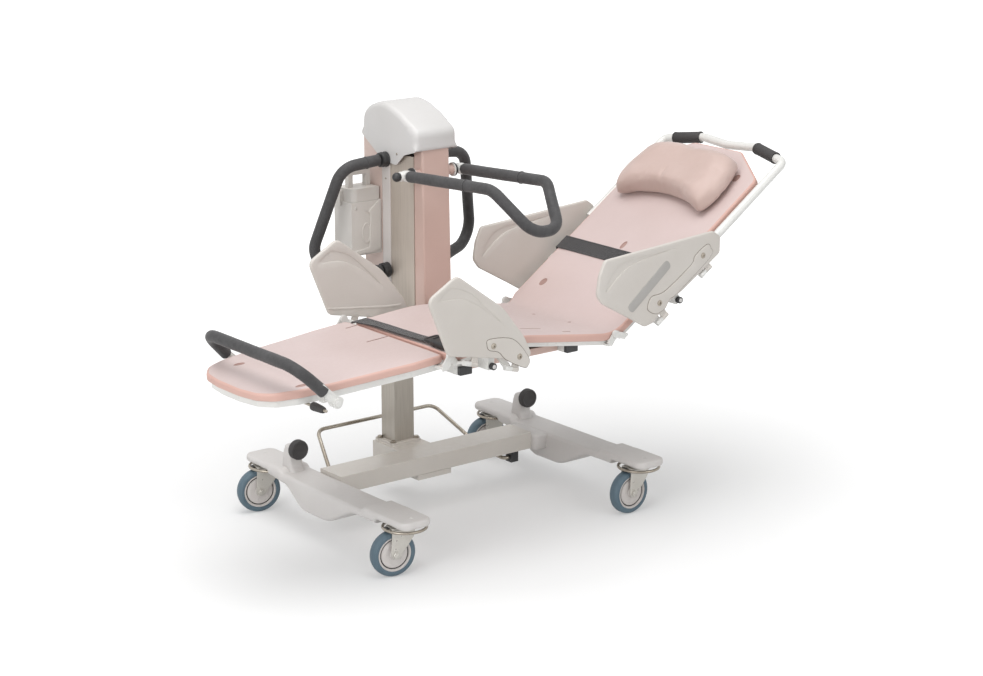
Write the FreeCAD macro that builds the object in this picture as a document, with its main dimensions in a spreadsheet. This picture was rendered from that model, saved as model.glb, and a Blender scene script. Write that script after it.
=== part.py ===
import FreeCAD, Part
import math
import os
from FreeCAD import Vector, Placement, Rotation

os.makedirs("parts", exist_ok=True)
doc = FreeCAD.newDocument("ShowerTrolley")

# A shower trolley: a bed of three sections on a lifting column, over a base with four castors.
# X runs from the foot of the bed to its head, Y from the open side to the column, Z up from the floor.
# Sizes are laid out from the column's middle plane and the floor; at the end the whole trolley is
# moved so that the origin lies on the floor under the middle of its outline.

# Driving dimensions in millimetres and degrees.
SIZES = {
    # castors
    "castor_head_x": 443, "castor_foot_x": 371, "castor_y": 323,
    "wheel_diameter": 125, "tyre_width": 32, "tyre_depth": 15, "tyre_round": 9,
    "hub_recess": 6, "hub_rim": 7, "hub_boss_radius": 15, "castor_trail": 36,
    "axle_radius": 6, "axle_clearance": 0.1, "axle_nut_radius": 10, "axle_nut_high": 6,
    "fork_gap": 3, "fork_sheet": 3, "fork_crown_gap": 4, "fork_crown_high": 6,
    "fork_front": 20, "fork_back": 45, "fork_foot": 12,
    "race_radius": 28, "race_gap": 0.3, "stem_radius": 10, "stem_clearance": 0.1, "stem_long": 14,
    "ring_radius": 57.5, "ring_wire": 4, "ring_drop": 10, "ring_tongue_half": 10, "ring_tongue_high": 4,
    "ring_gap": 0.8, "ring_hinge_x": 50, "ring_pin_radius": 3, "swivel_near_head": 0, "swivel_near_foot": -10,
    "swivel_far_head": -12, "swivel_far_foot": -13,
    # base
    "leg_underside": 140, "leg_pad_high": 20, "leg_half_wide": 50, "leg_half_long": 385,
    "leg_pad_long": 180, "leg_step": 10, "leg_step_run": 12, "leg_wall": 4, "leg_end_wall": 16, "leg_corner": 24,
    "leg_belly_low": 68, "leg_belly_middle": 35, "leg_belly_half": 42, "leg_belly_edge": 128,
    "leg_belly_turn": 175, "leg_flare_front": 26, "leg_flare_back": 160, "leg_edge_round": 4,
    "beam_near": 43, "beam_wide": 100, "beam_high": 50, "beam_top": 158, "beam_wall": 4,
    "post_front": 185, "post_deep": 40, "post_half_wide": 22, "post_top": 228, "post_slope": 14,
    "buffer_radius": 28, "buffer_thick": 20, "buffer_height": 213, "buffer_round": 4,
    "foot_plate_half": 58, "foot_plate_high": 15, "foot_box_back": 265,
    "flange_high": 8, "flange_margin": 14, "bolt_radius": 5, "bolt_head_radius": 8, "bolt_head_high": 6,
    "pedal_pivot_y": 70, "pedal_pivot_z": 86, "pedal_wire": 5.5, "pedal_corner_x": 206,
    "pedal_corner_y": 329, "pedal_corner_z": 200, "pedal_elbow_x": 264, "pedal_elbow_y": 160,
    "pedal_elbow_z": 92, "pedal_shoulder_x": 271, "pedal_bend": 14, "pedal_corner_bend": 32,
    "pedal_block_long": 26, "pedal_block_half": 13, "pedal_block_x": 300,
    # column
    "mast_half": 34, "mast_near": 189, "mast_deep": 63, "mast_wall": 3, "mast_top": 1040,
    "jack_radius": 25, "jack_bore": 14.1, "jack_rod_radius": 14, "jack_top": 1000, "jack_rod_low": 560,
    "lift_travel": 400,
    "sleeve_half": 64, "sleeve_near": 132, "sleeve_far": 262, "sleeve_wall": 3,
    "sleeve_low": 440, "sleeve_high": 1045, "sleeve_corner": 26, "sleeve_far_corner": 8,
    "guide_clearance": 0.3, "guide_high": 60,
    "neck_half": 30, "neck_near": 66, "neck_low": 470, "neck_high": 1010,
    "front_cover_half": 46, "front_cover_front": 30, "front_cover_lean": 10, "front_cover_low": 585,
    "front_cover_high": 1036, "cover_wall": 3, "front_cover_corner": 5,
    "boss_radius": 13.5, "boss_long": 20, "rail_shaft_radius": 11, "shaft_clearance": 0.1,
    "side_plate_thick": 5, "side_plate_near": 150, "side_plate_deep": 36, "side_plate_low": 560,
    "side_plate_high": 983,
    "rear_cover_far": 279, "rear_cover_low": 480, "rear_cover_high": 1085, "rear_cover_gap": 0.3,
    "rear_cover_corner": 12, "cap_half": 71, "cap_front": 24, "cap_back": 282, "cap_wall": 2.5,
    "cap_low": 984, "cap_high": 1153, "cap_side_corner": 34, "cap_crown_round": 16,
    "cap_seat_gap": 0.3, "cap_front_wall": 4, "cap_corner_wall": 12, "cap_shoulder_wall": 20,
    "motor_plate_high": 5, "motor_half": 38, "motor_near": 172, "motor_deep": 76, "motor_high": 58,
    "motor_plate_margin": 6,
    # battery
    "battery_out": 101, "battery_near": 190, "battery_deep": 84, "battery_low": 728,
    "holder_high": 150, "holder_wall": 4, "pack_gap": 0.5, "pack_high": 182, "pack_corner": 18,
    "pack_grip_high": 48, "pack_grip_deep": 18, "pack_grip_bar": 14, "pack_grip_inset": 10,
    "pack_travel": 185, "latch_thick": 6, "latch_wide": 24, "latch_high": 46, "latch_pin_radius": 3,
    "latch_gap": 0.3, "latch_from_back": 26, "latch_above": 30, "latch_pivot_up": 10,
    # push handles
    "handle_y": 163, "handle_top_z": 995, "handle_low_z": 683, "handle_stub": 30,
    "handle_top_x": 210, "handle_top_y": 176, "handle_top_corner_z": 984,
    "handle_low_x": 283, "handle_low_y": 245, "handle_low_corner_z": 708,
    "handle_tube_radius": 11, "handle_foam_radius": 16, "foam_clearance": 0.2, "handle_bend": 60,
    "cup_radius": 20, "cup_long": 22, "cup_wall": 2,
    # grab rail
    "rail_y": 45, "rail_z": 968, "rail_leg_x": 92, "rail_reach": 380, "rail_rise": 22,
    "rail_drop": 102, "rail_tip_reach": 110, "rail_tip_half": 42, "rail_foam_radius": 15.5,
    "rail_tube_radius": 10, "rail_bend": 50, "rail_foam_start": 18, "rail_collar_radius": 19,
    "rail_collar_long": 6, "rail_collar_gap": 0.4, "rail_ball_radius": 12, "rail_ball_x": 120,
    "shaft_overrun": 3,
    # bed
    "bed_centre_y": 200, "pad_thick": 20, "pad_round": 7, "pad_half": 232,
    "tray_thick": 12, "tray_gap": 0.3, "tray_inset": 8,
    "knee_x": 306, "knee_z": 604, "crest_x": 88, "crest_z": 620, "hip_x": 250, "hip_z": 570,
    "fold_gap": 6, "seat_far_edge": 4,
    "leg_tilt": 4, "knee_relief": 9, "leg_pad_reach": 517, "leg_knee_half": 217, "leg_neck_u": 96,
    "leg_waist_run": 187, "leg_waist_half": 196, "leg_foot_run": 97, "leg_foot_half": 180, "leg_foot_corner": 105,
    "foot_bulge": 10, "leg_tray_drop": 18, "leg_tray_lip": 6,
    "back_tilt": 34.8, "back_long": 716, "back_chamfer_long": 88, "back_chamfer_half": 97,
    "back_corner": 34, "drain_radius": 13, "drain_deep": 4, "slot_wide": 6, "slot_long": 92,
    "small_slot_long": 24,
    "arm_half": 20, "arm_high": 22, "arm_top": 551.2,
    "arm_riser_long": 60, "arm_setback": 52, "arm_foot_x": 220,
    "arm_head_x": 137, "arm_wall": 3, "arm_cap_long": 12, "cross_near": 30, "cross_far": 10,
    "arm_bracket_half": 28, "arm_bracket_low": 482, "arm_bracket_near": 10,
    "pan_setback": 25, "pan_wall": 3, "pan_gap": 0.4, "pan_high": 20,
    # straps and pillow
    "strap_wide": 48, "strap_thick": 2.5, "strap_gap": 0.3, "thigh_strap_x": 300,
    "thigh_strap_skew": 8, "strap_inset": 10, "buckle_long": 90, "buckle_margin": 4, "buckle_wide": 54, "buckle_high": 14,
    "chest_strap_u": 248, "pillow_low": 458, "pillow_long": 208, "pillow_wide": 360,
    "pillow_high": 66, "pillow_shift": 8, "pillow_gap": 0.3,
    # head handle, in the back section's own axes
    "head_tube_radius": 12.5, "head_tube_out": 14, "head_tube_w": 18, "head_tube_start": 372,
    "head_corner_past": 8, "head_peak_past": 41, "head_peak_v": 106, "head_dip_past": 30,
    "head_bend": 45, "head_grip_radius": 17, "head_grip_long": 96, "head_grip_from": 38.5,
    "head_lug_low_u": 420, "head_lug_high_from": 126, "head_lug_wide": 24, "lug_gap": 0.3,
    # foot bar, in the leg section's own axes
    "foot_pivot_run": 167, "foot_pivot_w": 37, "foot_arm_v": 231, "foot_top_run": 73, "foot_top_w": 72,
    "foot_top_v": 212, "foot_bend": 60, "foot_tube_radius": 10, "foot_foam_radius": 15.5,
    "foot_foam_start": 42, "foot_eye_v": 233, "foot_eye_thick": 8, "foot_eye_radius": 13,
    "foot_stud_radius": 5, "foot_stud_gap": 0.1, "foot_stud_head_radius": 8, "foot_stud_head": 3,
    "foot_stud_root": 170,
    # release bar under the foot end
    "release_run": 126, "release_w": 44, "release_rod_radius": 4, "release_half": 242,
    "release_grip_long": 48, "release_grip_radius": 11, "release_lug_v": 120, "release_lug_wide": 14,
    "release_lug_half": 9, "release_gap": 0.1, "release_cam_half": 12, "release_cam_reach": 22,
    "release_cam_thick": 6,
    # side panels
    "panel_thick": 12, "panel_out": 28, "panel_round": 3, "panel_corner": 12,
    "back_panel_long": 421, "back_panel_tall": 267, "back_panel_u": 7, "back_panel_w": 49,
    "back_panel_axis_w": 58, "seat_panel_long": 332, "seat_panel_tall": 274, "seat_panel_x": 399,
    "seat_panel_z": 546, "seat_axis_foot_x": 336, "seat_axis_foot_z": 602, "seat_axis_tilt": 15,
    "seat_axis_long": 246, "knuckle_radius": 7, "knuckle_long": 22, "knuckle_gap": 0.4,
    "pin_radius": 3, "pin_clearance": 0.1, "seat_knuckle_first": 52, "seat_knuckle_second": 190,
    "back_knuckle_first": 108, "back_knuckle_second": 300, "groove_deep": 3,
    "knob_radius": 9, "knob_long": 14, "knob_stem_radius": 4, "knob_gap": 0.4,
    "seat_knob_along": 150, "back_knob_u": 205, "knob_block_half": 10, "knob_block_deep": 20,
    # fold hinges at the knee and the hip
    "fold_plate_out": 2, "fold_plate_thick": 4, "fold_plate_radius": 11, "fold_plate_gap": 0.4,
    "fold_reach": 21, "fold_drop": 26, "fold_pin_radius": 5, "fold_foot_half": 9,
}

# Outlines as shares of their long and tall sizes, from the low end.
BACK_PANEL_SHARES = [(0.179, 1.0), (0.973, 0.254), (1.0, 0.143), (0.937, 0.0), (0.555, 0.027),
                     (0.409, 0.064), (0.249, 0.024), (0.182, 0.066), (0.129, 0.248),
                     (0.004, 0.654), (0.0, 0.776), (0.088, 0.917)]
SEAT_PANEL_SHARES = [(0.277, 1.0), (0.0, 0.807), (0.190, 0.248), (0.705, 0.124), (0.931, 0.0),
                     (1.0, 0.12), (0.928, 0.296), (0.72, 0.613)]
BACK_GROOVE_SHARES = [(0.20, 0.88), (0.80, 0.36), (0.74, 0.34), (0.24, 0.74)]
SEAT_GROOVE_SHARES = [(0.22, 0.84), (0.33, 0.88), (0.80, 0.38), (0.74, 0.40), (0.35, 0.76)]
CAP_SHARES = [(0.0, 0.289), (0.0, 0.601), (0.115, 0.694), (0.279, 0.832), (0.542, 0.977),
              (0.649, 1.0), (0.878, 0.884), (0.969, 0.815), (1.0, 0.416), (0.702, 0.133),
              (0.576, 0.035), (0.347, 0.0), (0.21, 0.208)]

sheet = doc.addObject("Spreadsheet::Sheet", "Sizes")
for row, (alias, value) in enumerate(SIZES.items(), start=1):
    sheet.set(f"A{row}", alias)
    sheet.set(f"B{row}", str(value))
    sheet.setAlias(f"B{row}", alias)
doc.recompute()


class Size:
    """A length or angle that carries its value and the expression it comes from."""

    def __init__(self, value, text):
        self.value = float(value)
        self.text = text

    def join(self, other, sign, value):
        return Size(value, f"({self.text} {sign} {other.text})")

    def __add__(self, other):
        other = as_size(other)
        return self.join(other, "+", self.value + other.value)

    def __radd__(self, other):
        return as_size(other) + self

    def __sub__(self, other):
        other = as_size(other)
        return self.join(other, "-", self.value - other.value)

    def __rsub__(self, other):
        return as_size(other) - self

    def __mul__(self, other):
        other = as_size(other)
        return self.join(other, "*", self.value * other.value)

    def __rmul__(self, other):
        return as_size(other) * self

    def __truediv__(self, other):
        other = as_size(other)
        return self.join(other, "/", self.value / other.value)

    def __neg__(self):
        return Size(-self.value, f"(-{self.text})")

    def __float__(self):
        return self.value


def as_size(number):
    return number if isinstance(number, Size) else Size(number, f"{float(number):.6f}")


class Lookup:
    """Gives each named size of the sheet as an attribute."""

    def __getattr__(self, alias):
        return Size(SIZES[alias], f"Sizes.{alias}")


size = Lookup()
ZERO = as_size(0)


def sine(angle):
    return Size(math.sin(math.radians(angle.value)), f"sin({angle.text})")


def cosine(angle):
    return Size(math.cos(math.radians(angle.value)), f"cos({angle.text})")


def tangent(angle):
    return sine(angle) / cosine(angle)


def point(x, y, z):
    return Vector(float(x), float(y), float(z))


# Sketch and feature helpers. Roles: XY_Plane draws (X, Y), XZ_Plane (X, Z) and YZ_Plane (Y, Z).

def new_body(label, place=None):
    body = doc.addObject("PartDesign::Body", label)
    body.Label = label
    if hasattr(body, "AllowCompound"):
        body.AllowCompound = True
    if place is not None:
        body.Placement = place
    return body


def origin_plane(body, role):
    return next(item for item in body.Origin.OriginFeatures if item.Role == role)


def new_sketch(body, name, role, level):
    sketch = body.newObject("Sketcher::SketchObject", name)
    sketch.AttachmentSupport = [(origin_plane(body, role), "")]
    sketch.MapMode = "FlatFace"
    height = -level if role == "XZ_Plane" else level
    sketch.AttachmentOffset = Placement(point(ZERO, ZERO, height), Rotation())
    sketch.setExpression("AttachmentOffset.Base.z", height.text)
    return sketch


def pin_point(sketch, line, end, x, y):
    """Fix one point of a line at (x, y) by bound distances from the sketch's origin."""
    import Sketcher
    for kind, axis, measure in (("DistanceX", -2, as_size(x)), ("DistanceY", -1, as_size(y))):
        if measure.value == 0.0:
            sketch.addConstraint(Sketcher.Constraint("PointOnObject", line, end, axis))
        else:
            index = sketch.addConstraint(Sketcher.Constraint(kind, -1, 1, line, end, measure.value))
            sketch.setExpression(f"Constraints[{index}]", measure.text)


def draw_outline(sketch, outline):
    """Draw a closed polygon whose corners are bound to the sheet."""
    import Sketcher
    first = sketch.GeometryCount
    count = len(outline)
    for step, (x, y) in enumerate(outline):
        nx, ny = outline[(step + 1) % count]
        sketch.addGeometry(Part.LineSegment(point(x, y, ZERO), point(nx, ny, ZERO)), False)
    for step in range(count):
        after = first + (step + 1) % count
        sketch.addConstraint(Sketcher.Constraint("Coincident", first + step, 2, after, 1))
    for step, (x, y) in enumerate(outline):
        pin_point(sketch, first + step, 1, x, y)


def draw_circle(sketch, x, y, radius):
    import Sketcher
    x, y = as_size(x), as_size(y)
    line = sketch.addGeometry(Part.Circle(point(x, y, ZERO), Vector(0, 0, 1), float(radius)), False)
    pin_point(sketch, line, 3, x, y)
    index = sketch.addConstraint(Sketcher.Constraint("Radius", line, float(radius)))
    sketch.setExpression(f"Constraints[{index}]", radius.text)


def fill_sketch(sketch, shape):
    """A shape is a list of corners, or one (x, y, radius) circle, or several of them."""
    if isinstance(shape, tuple):
        draw_circle(sketch, *shape)
    elif isinstance(shape[0], list) or len(shape[0]) == 3:
        for piece in shape:
            fill_sketch(sketch, piece)
    else:
        draw_outline(sketch, shape)


def pad(body, role, shape, low, high):
    """Raise an outline from one level to another along the plane's own world axis."""
    low, high = as_size(low), as_size(high)
    name = f"{body.Name}_pad"
    start = high if role == "XZ_Plane" else low
    sketch = new_sketch(body, f"{name}_sketch", role, start)
    fill_sketch(sketch, shape)
    feature = body.newObject("PartDesign::Pad", name)
    feature.Profile = sketch
    feature.Length = float(high - low)
    feature.setExpression("Length", (high - low).text)
    doc.recompute()
    return feature


def cut(body, role, shape, low, high):
    """Cut an outline away between two levels, and check that something was cut."""
    low, high = as_size(low), as_size(high)
    before = body.Shape.Volume
    name = f"{body.Name}_cut"
    start = low if role == "XZ_Plane" else high
    sketch = new_sketch(body, f"{name}_sketch", role, start)
    fill_sketch(sketch, shape)
    feature = body.newObject("PartDesign::Pocket", name)
    feature.Profile = sketch
    feature.Length = float(high - low)
    feature.setExpression("Length", (high - low).text)
    doc.recompute()
    if not body.Shape.Volume < before:
        raise RuntimeError(f"{body.Label}: a cut removed nothing")
    return feature


def revolve(body, role, outline, axis):
    """Turn an outline about the sketch's H_Axis or V_Axis."""
    name = f"{body.Name}_turn"
    sketch = new_sketch(body, f"{name}_sketch", role, ZERO)
    fill_sketch(sketch, outline)
    feature = body.newObject("PartDesign::Revolution", name)
    feature.Profile = sketch
    feature.ReferenceAxis = (sketch, [axis])
    feature.Angle = 360.0
    doc.recompute()
    return feature


def dress(body, kind, chosen, measure):
    """Fillet or chamfer the edges that a test picks from the body's present shape."""
    base = body.Tip
    names = [f"Edge{number}" for number, edge in enumerate(base.Shape.Edges, start=1) if chosen(edge)]
    if not names:
        raise RuntimeError(f"{body.Label}: no edge to {kind}")
    feature = body.newObject(f"PartDesign::{kind}", f"{body.Name}_{kind}")
    feature.Base = (base, names)
    field = "Radius" if kind == "Fillet" else "Size"
    setattr(feature, field, float(measure))
    feature.setExpression(field, measure.text)
    doc.recompute()
    return feature


def along(axis):
    """A test for straight edges that run along one axis."""
    def test(edge):
        if edge.Curve.TypeId != "Part::GeomLine":
            return False
        direction = edge.tangentAt(edge.FirstParameter)
        return abs(direction.dot(axis)) > 0.999
    return test


ORIGIN = point(ZERO, ZERO, ZERO)
X_AXIS, Y_AXIS, Z_AXIS = Vector(1, 0, 0), Vector(0, 1, 0), Vector(0, 0, 1)
NEAR_ENOUGH_SHARE = 0.001


def at_level(axis, *levels):
    """A test for edges that lie flat at one of the given levels along an axis."""
    wanted = [float(level) for level in levels]

    def test(edge):
        box = edge.BoundBox
        low, high = {0: (box.XMin, box.XMax), 1: (box.YMin, box.YMax), 2: (box.ZMin, box.ZMax)}[axis]
        return any(abs(low - level) < NEAR_ENOUGH_SHARE * (1 + abs(level)) and
                   abs(high - level) < NEAR_ENOUGH_SHARE * (1 + abs(level)) for level in wanted)
    return test


def rectangle(x_low, y_low, x_high, y_high):
    return [(x_low, y_low), (x_high, y_low), (x_high, y_high), (x_low, y_high)]


def shared_outline(shares, x_low, y_low, long, tall):
    return [(x_low + long * across, y_low + tall * up) for across, up in shares]


def plain_feature(label, shape, place=None):
    """A sub-part whose shape is made directly from the sheet's sizes."""
    feature = doc.addObject("Part::Feature", label)
    feature.Label = label
    feature.Shape = shape
    if place is not None:
        feature.Placement = place
    return feature


def rounded_path(corners, bend):
    """Straight runs joined by tangent arcs of one bend radius."""
    edges = []
    start = corners[0]
    for before, corner, after in zip(corners, corners[1:], corners[2:]):
        back = (before - corner).normalize()
        ahead = (after - corner).normalize()
        half = back.getAngle(ahead) / 2
        inward = (back + ahead).normalize()
        trim = float(bend) / math.tan(half)
        centre = corner + inward * (float(bend) / math.sin(half))
        entry = corner + back * trim
        leave = corner + ahead * trim
        edges.append(Part.LineSegment(start, entry).toShape())
        edges.append(Part.Arc(entry, centre - inward * float(bend), leave).toShape())
        start = leave
    edges.append(Part.LineSegment(start, corners[-1]).toShape())
    return Part.Wire(edges)


def rod(corners, bend, radius):
    """A round bar along a bent path."""
    path = rounded_path(corners, bend)
    start = corners[0]
    circle = Part.Circle(start, corners[1] - start, float(radius))
    return path.makePipeShell([Part.Wire([circle.toShape()])], True, False)


def trimmed(corners, at_start, at_end):
    """The same path, shortened at its two ends."""
    first, last = corners[0], corners[-1]
    start = first + (corners[1] - first).normalize() * float(at_start)
    end = last + (corners[-2] - last).normalize() * float(at_end)
    return [start] + corners[1:-1] + [end]


def sleeve_tube(corners, bend, outer, inner):
    """A hollow tube or foam sleeve along a bent path."""
    return rod(corners, bend, outer).cut(rod(corners, bend, inner))


def mirrored_x(corners):
    return [Vector(-corner.x, corner.y, corner.z) for corner in corners]


def mirrored_y(corners):
    return [Vector(corner.x, -corner.y, corner.z) for corner in corners]


def round_bar(start, direction, radius, length):
    return Part.makeCylinder(float(radius), float(length), start, direction)


# Castors: each stands at its swivel axis, with its wheel trailing along its own -X.

WHEEL_RADIUS = size.wheel_diameter / 2
CROWN_LOW = size.wheel_diameter + size.fork_crown_gap
CROWN_HIGH = CROWN_LOW + size.fork_crown_high
RACE_HIGH = size.leg_underside - size.race_gap
CASTORS = [
    ("near_head", size.castor_head_x, -size.castor_y, size.swivel_near_head),
    ("near_foot", -size.castor_foot_x, -size.castor_y, size.swivel_near_foot),
    ("far_foot", -size.castor_foot_x, size.castor_y, size.swivel_far_foot),
    ("far_head", size.castor_head_x, size.castor_y, size.swivel_far_head),
]


def castor_place(x, y, turn):
    return Placement(point(x, y, ZERO), Rotation(Z_AXIS, turn.value))


def make_fork(name, place):
    fork = new_body(f"fork_{name}", place)
    inner = size.tyre_width / 2 + size.fork_gap
    outer = inner + size.fork_sheet
    pad(fork, "XY_Plane", rectangle(-size.fork_back, -outer, size.fork_front, outer), CROWN_LOW, CROWN_HIGH)
    side = [(-size.fork_back, CROWN_LOW), (size.fork_front, CROWN_LOW),
            (-size.castor_trail + size.fork_foot, WHEEL_RADIUS - size.fork_foot),
            (-size.castor_trail - size.fork_foot, WHEEL_RADIUS - size.fork_foot)]
    pad(fork, "XZ_Plane", side, inner, outer)
    pad(fork, "XZ_Plane", side, -outer, -inner)
    nut = outer + size.axle_nut_high
    pad(fork, "XZ_Plane", (-size.castor_trail, WHEEL_RADIUS, size.axle_radius), -outer, outer)
    pad(fork, "XZ_Plane", (-size.castor_trail, WHEEL_RADIUS, size.axle_nut_radius), outer, nut)
    pad(fork, "XZ_Plane", (-size.castor_trail, WHEEL_RADIUS, size.axle_nut_radius), -nut, -outer)
    pad(fork, "XY_Plane", (ZERO, ZERO, size.race_radius), CROWN_HIGH, RACE_HIGH)
    pad(fork, "XY_Plane", (ZERO, ZERO, size.stem_radius), RACE_HIGH, size.leg_underside + size.stem_long)
    return fork


def turned(outline, centre):
    """A ring about the wheel's own axle from (across, radius) points."""
    wire = Part.makePolygon([point(x, ZERO, r) for x, r in outline + outline[:1]])
    solid = Part.Face(wire).revolve(Vector(0, 0, 0), X_AXIS, 360)
    solid.Placement = Placement(centre, Rotation(Z_AXIS, 90))
    return solid


def make_wheel(name, place):
    """Tyre and hub of one wheel, as two solids that meet at the rim."""
    half = size.tyre_width / 2
    rim = WHEEL_RADIUS - size.tyre_depth
    shoulder = WHEEL_RADIUS - size.tyre_round / 2
    tread = half - size.tyre_round
    bore = size.axle_radius + size.axle_clearance
    dish = half - size.hub_recess
    centre = point(-size.castor_trail, ZERO, WHEEL_RADIUS)
    tyre = turned([(-half, rim), (half, rim), (half, shoulder - size.tyre_round / 2), (half - size.tyre_round / 2, shoulder),
                   (tread, WHEEL_RADIUS), (-tread, WHEEL_RADIUS), (-half + size.tyre_round / 2, shoulder),
                   (-half, shoulder - size.tyre_round / 2)], centre)
    hub = turned([(-half, bore), (half, bore), (half, size.hub_boss_radius), (dish, size.hub_boss_radius),
                  (dish, rim - size.hub_rim), (half, rim - size.hub_rim), (half, rim), (-half, rim),
                  (-half, rim - size.hub_rim), (-dish, rim - size.hub_rim), (-dish, size.hub_boss_radius),
                  (-half, size.hub_boss_radius)], centre)
    return plain_feature(f"wheel_{name}", Part.makeCompound([tyre, hub]), place)


def make_brake_ring(name, place):
    """A wire ring round the castor that is trodden down on any side."""
    level = float(size.leg_underside - size.ring_drop)
    ring = Part.makeTorus(float(size.ring_radius), float(size.ring_wire), Vector(0, 0, level), Z_AXIS)
    tongue_long = size.ring_radius - size.fork_back - size.ring_gap
    corner = point(-size.ring_radius, -size.ring_tongue_half, level - float(size.ring_tongue_high) / 2)
    tongue = Part.makeBox(float(tongue_long), float(size.ring_tongue_half * 2), float(size.ring_tongue_high), corner)
    pin = round_bar(point(-size.ring_hinge_x, -size.ring_tongue_half - size.ring_pin_radius, level), Y_AXIS,
                    size.ring_pin_radius, 2 * (size.ring_tongue_half + size.ring_pin_radius))
    return plain_feature(f"brake_ring_{name}", ring.multiFuse([tongue, pin]).removeSplitter(), place)


def make_castors():
    for name, x, y, turn in CASTORS:
        place = castor_place(x, y, turn)
        make_fork(name, place)
        make_wheel(name, place)
        make_brake_ring(name, place)


# Base: two cross legs with covers, the beam between them, and the column's foot.

LEG_TOP = size.leg_underside + size.leg_pad_high
BEAM_LOW = size.beam_top - size.beam_high
BEAM_FAR = size.beam_near + size.beam_wide
LEG_AXES = [-size.castor_foot_x, size.castor_head_x]
BEAM_FOOT_END = -size.castor_foot_x + size.leg_half_wide
BEAM_HEAD_END = size.castor_head_x - size.leg_half_wide - size.leg_corner * 2 + size.leg_wall


def leg_outline(inset, end_inset):
    """Side view of a leg, drawn in by a wall thickness, and by another at its ends."""
    end = size.leg_half_long - end_inset
    top = LEG_TOP - inset
    low = size.leg_underside + inset
    middle_top = top - size.leg_step
    pad_start = size.leg_half_long - size.leg_pad_long
    arch = size.castor_y - size.ring_radius - size.ring_wire * 2 - inset
    valley = size.leg_belly_edge + inset
    belly = size.leg_belly_low + inset
    return [(-end, low), (-end, top), (-pad_start, top), (-pad_start + size.leg_step_run, middle_top),
            (pad_start - size.leg_step_run, middle_top), (pad_start, top), (end, top), (end, low),
            (arch, low), (arch, valley), (size.leg_belly_turn, valley - size.leg_step),
            (size.leg_belly_middle + size.leg_belly_half, belly),
            (size.leg_belly_middle - size.leg_belly_half, belly), (-size.leg_belly_turn, valley), (-arch, valley),
            (-arch, low)]


def make_leg_covers():
    covers = new_body("leg_covers")
    outline = leg_outline(ZERO, ZERO)
    hollow = leg_outline(size.leg_wall, size.leg_end_wall)
    inner = size.leg_half_wide - size.leg_wall
    for axis in LEG_AXES:
        pad(covers, "YZ_Plane", outline, axis - size.leg_half_wide, axis + size.leg_half_wide)
    dress(covers, "Fillet", lambda edge: along(Z_AXIS)(edge) and
          abs(abs(edge.BoundBox.YMin) - float(size.leg_half_long)) < NEAR_ENOUGH_SHARE, size.leg_corner)
    dress(covers, "Fillet", lambda edge: at_level(2, LEG_TOP)(edge) and
          abs(edge.BoundBox.YMax + edge.BoundBox.YMin) > float(size.leg_half_long), size.leg_edge_round)
    flare = rectangle(BEAM_HEAD_END, size.leg_flare_front, size.castor_head_x - size.leg_half_wide,
                      size.leg_flare_back)
    pad(covers, "XY_Plane", flare, BEAM_LOW - size.leg_wall, size.leg_underside + size.leg_step)
    for axis in LEG_AXES:
        cut(covers, "YZ_Plane", hollow, axis - inner, axis + inner)
        stem = size.stem_radius + size.stem_clearance
        for side in (-size.castor_y, size.castor_y):
            cut(covers, "XY_Plane", (axis, side, stem), size.leg_underside, size.leg_underside + size.leg_wall)
        post = [(size.post_front, LEG_TOP - size.leg_wall), (size.post_front + size.post_deep, LEG_TOP - size.leg_wall),
                (size.post_front + size.post_deep - size.post_slope, size.post_top - size.post_slope),
                (size.post_front + size.post_slope, size.post_top), (size.post_front, size.post_top - size.post_slope / 2)]
        pad(covers, "YZ_Plane", post, axis - size.post_half_wide, axis + size.post_half_wide)
    return covers


def make_buffers():
    buffers = new_body("rubber_buffers")
    for axis in LEG_AXES:
        pad(buffers, "XZ_Plane", (axis, size.buffer_height, size.buffer_radius),
            size.post_front - size.buffer_thick, size.post_front)
    dress(buffers, "Fillet", at_level(1, size.post_front - size.buffer_thick), size.buffer_round)
    return buffers


def make_beam():
    beam = new_body("base_beam")
    wall = size.beam_wall
    pad(beam, "YZ_Plane", rectangle(size.beam_near, BEAM_LOW, BEAM_FAR, size.beam_top), BEAM_FOOT_END, BEAM_HEAD_END)
    cut(beam, "YZ_Plane", rectangle(size.beam_near + wall, BEAM_LOW + wall, BEAM_FAR - wall, size.beam_top - wall),
        BEAM_FOOT_END + wall, BEAM_HEAD_END - wall)
    dress(beam, "Fillet", lambda edge: along(X_AXIS)(edge) and
          abs(edge.BoundBox.YMin - float(size.beam_near) - float(size.beam_wide) / 2) >
          float(size.beam_wide) / 2 - float(wall) / 2, wall / 2)
    return beam


FLANGE_TOP = size.beam_top + size.flange_high
MAST_FAR = size.mast_near + size.mast_deep


def make_mast_foot():
    """Bracket that hangs on the beam and carries the mast's flange."""
    foot = new_body("mast_foot")
    half = size.foot_plate_half
    side = [(size.beam_near, BEAM_LOW - size.foot_plate_high), (size.foot_box_back, BEAM_LOW - size.foot_plate_high),
            (size.foot_box_back, size.beam_top), (BEAM_FAR, size.beam_top), (BEAM_FAR, BEAM_LOW),
            (size.beam_near, BEAM_LOW)]
    pad(foot, "YZ_Plane", side, -half, half)
    flange = rectangle(-size.mast_half - size.flange_margin, size.mast_near - size.flange_margin,
                       size.mast_half + size.flange_margin, size.foot_box_back)
    pad(foot, "XY_Plane", flange, size.beam_top, FLANGE_TOP)
    return foot


def make_mast_bolts():
    bolts = new_body("mast_bolts")
    x = size.mast_half + size.flange_margin / 2
    near = size.mast_near - size.flange_margin / 2 + size.bolt_radius
    heads = [(x * side, level, size.bolt_head_radius - ONE_EDGE) for side in (-1, 1)
             for level in (near, MAST_FAR)]
    pad(bolts, "XY_Plane", heads, FLANGE_TOP, FLANGE_TOP + size.bolt_head_high)
    return bolts


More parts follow.
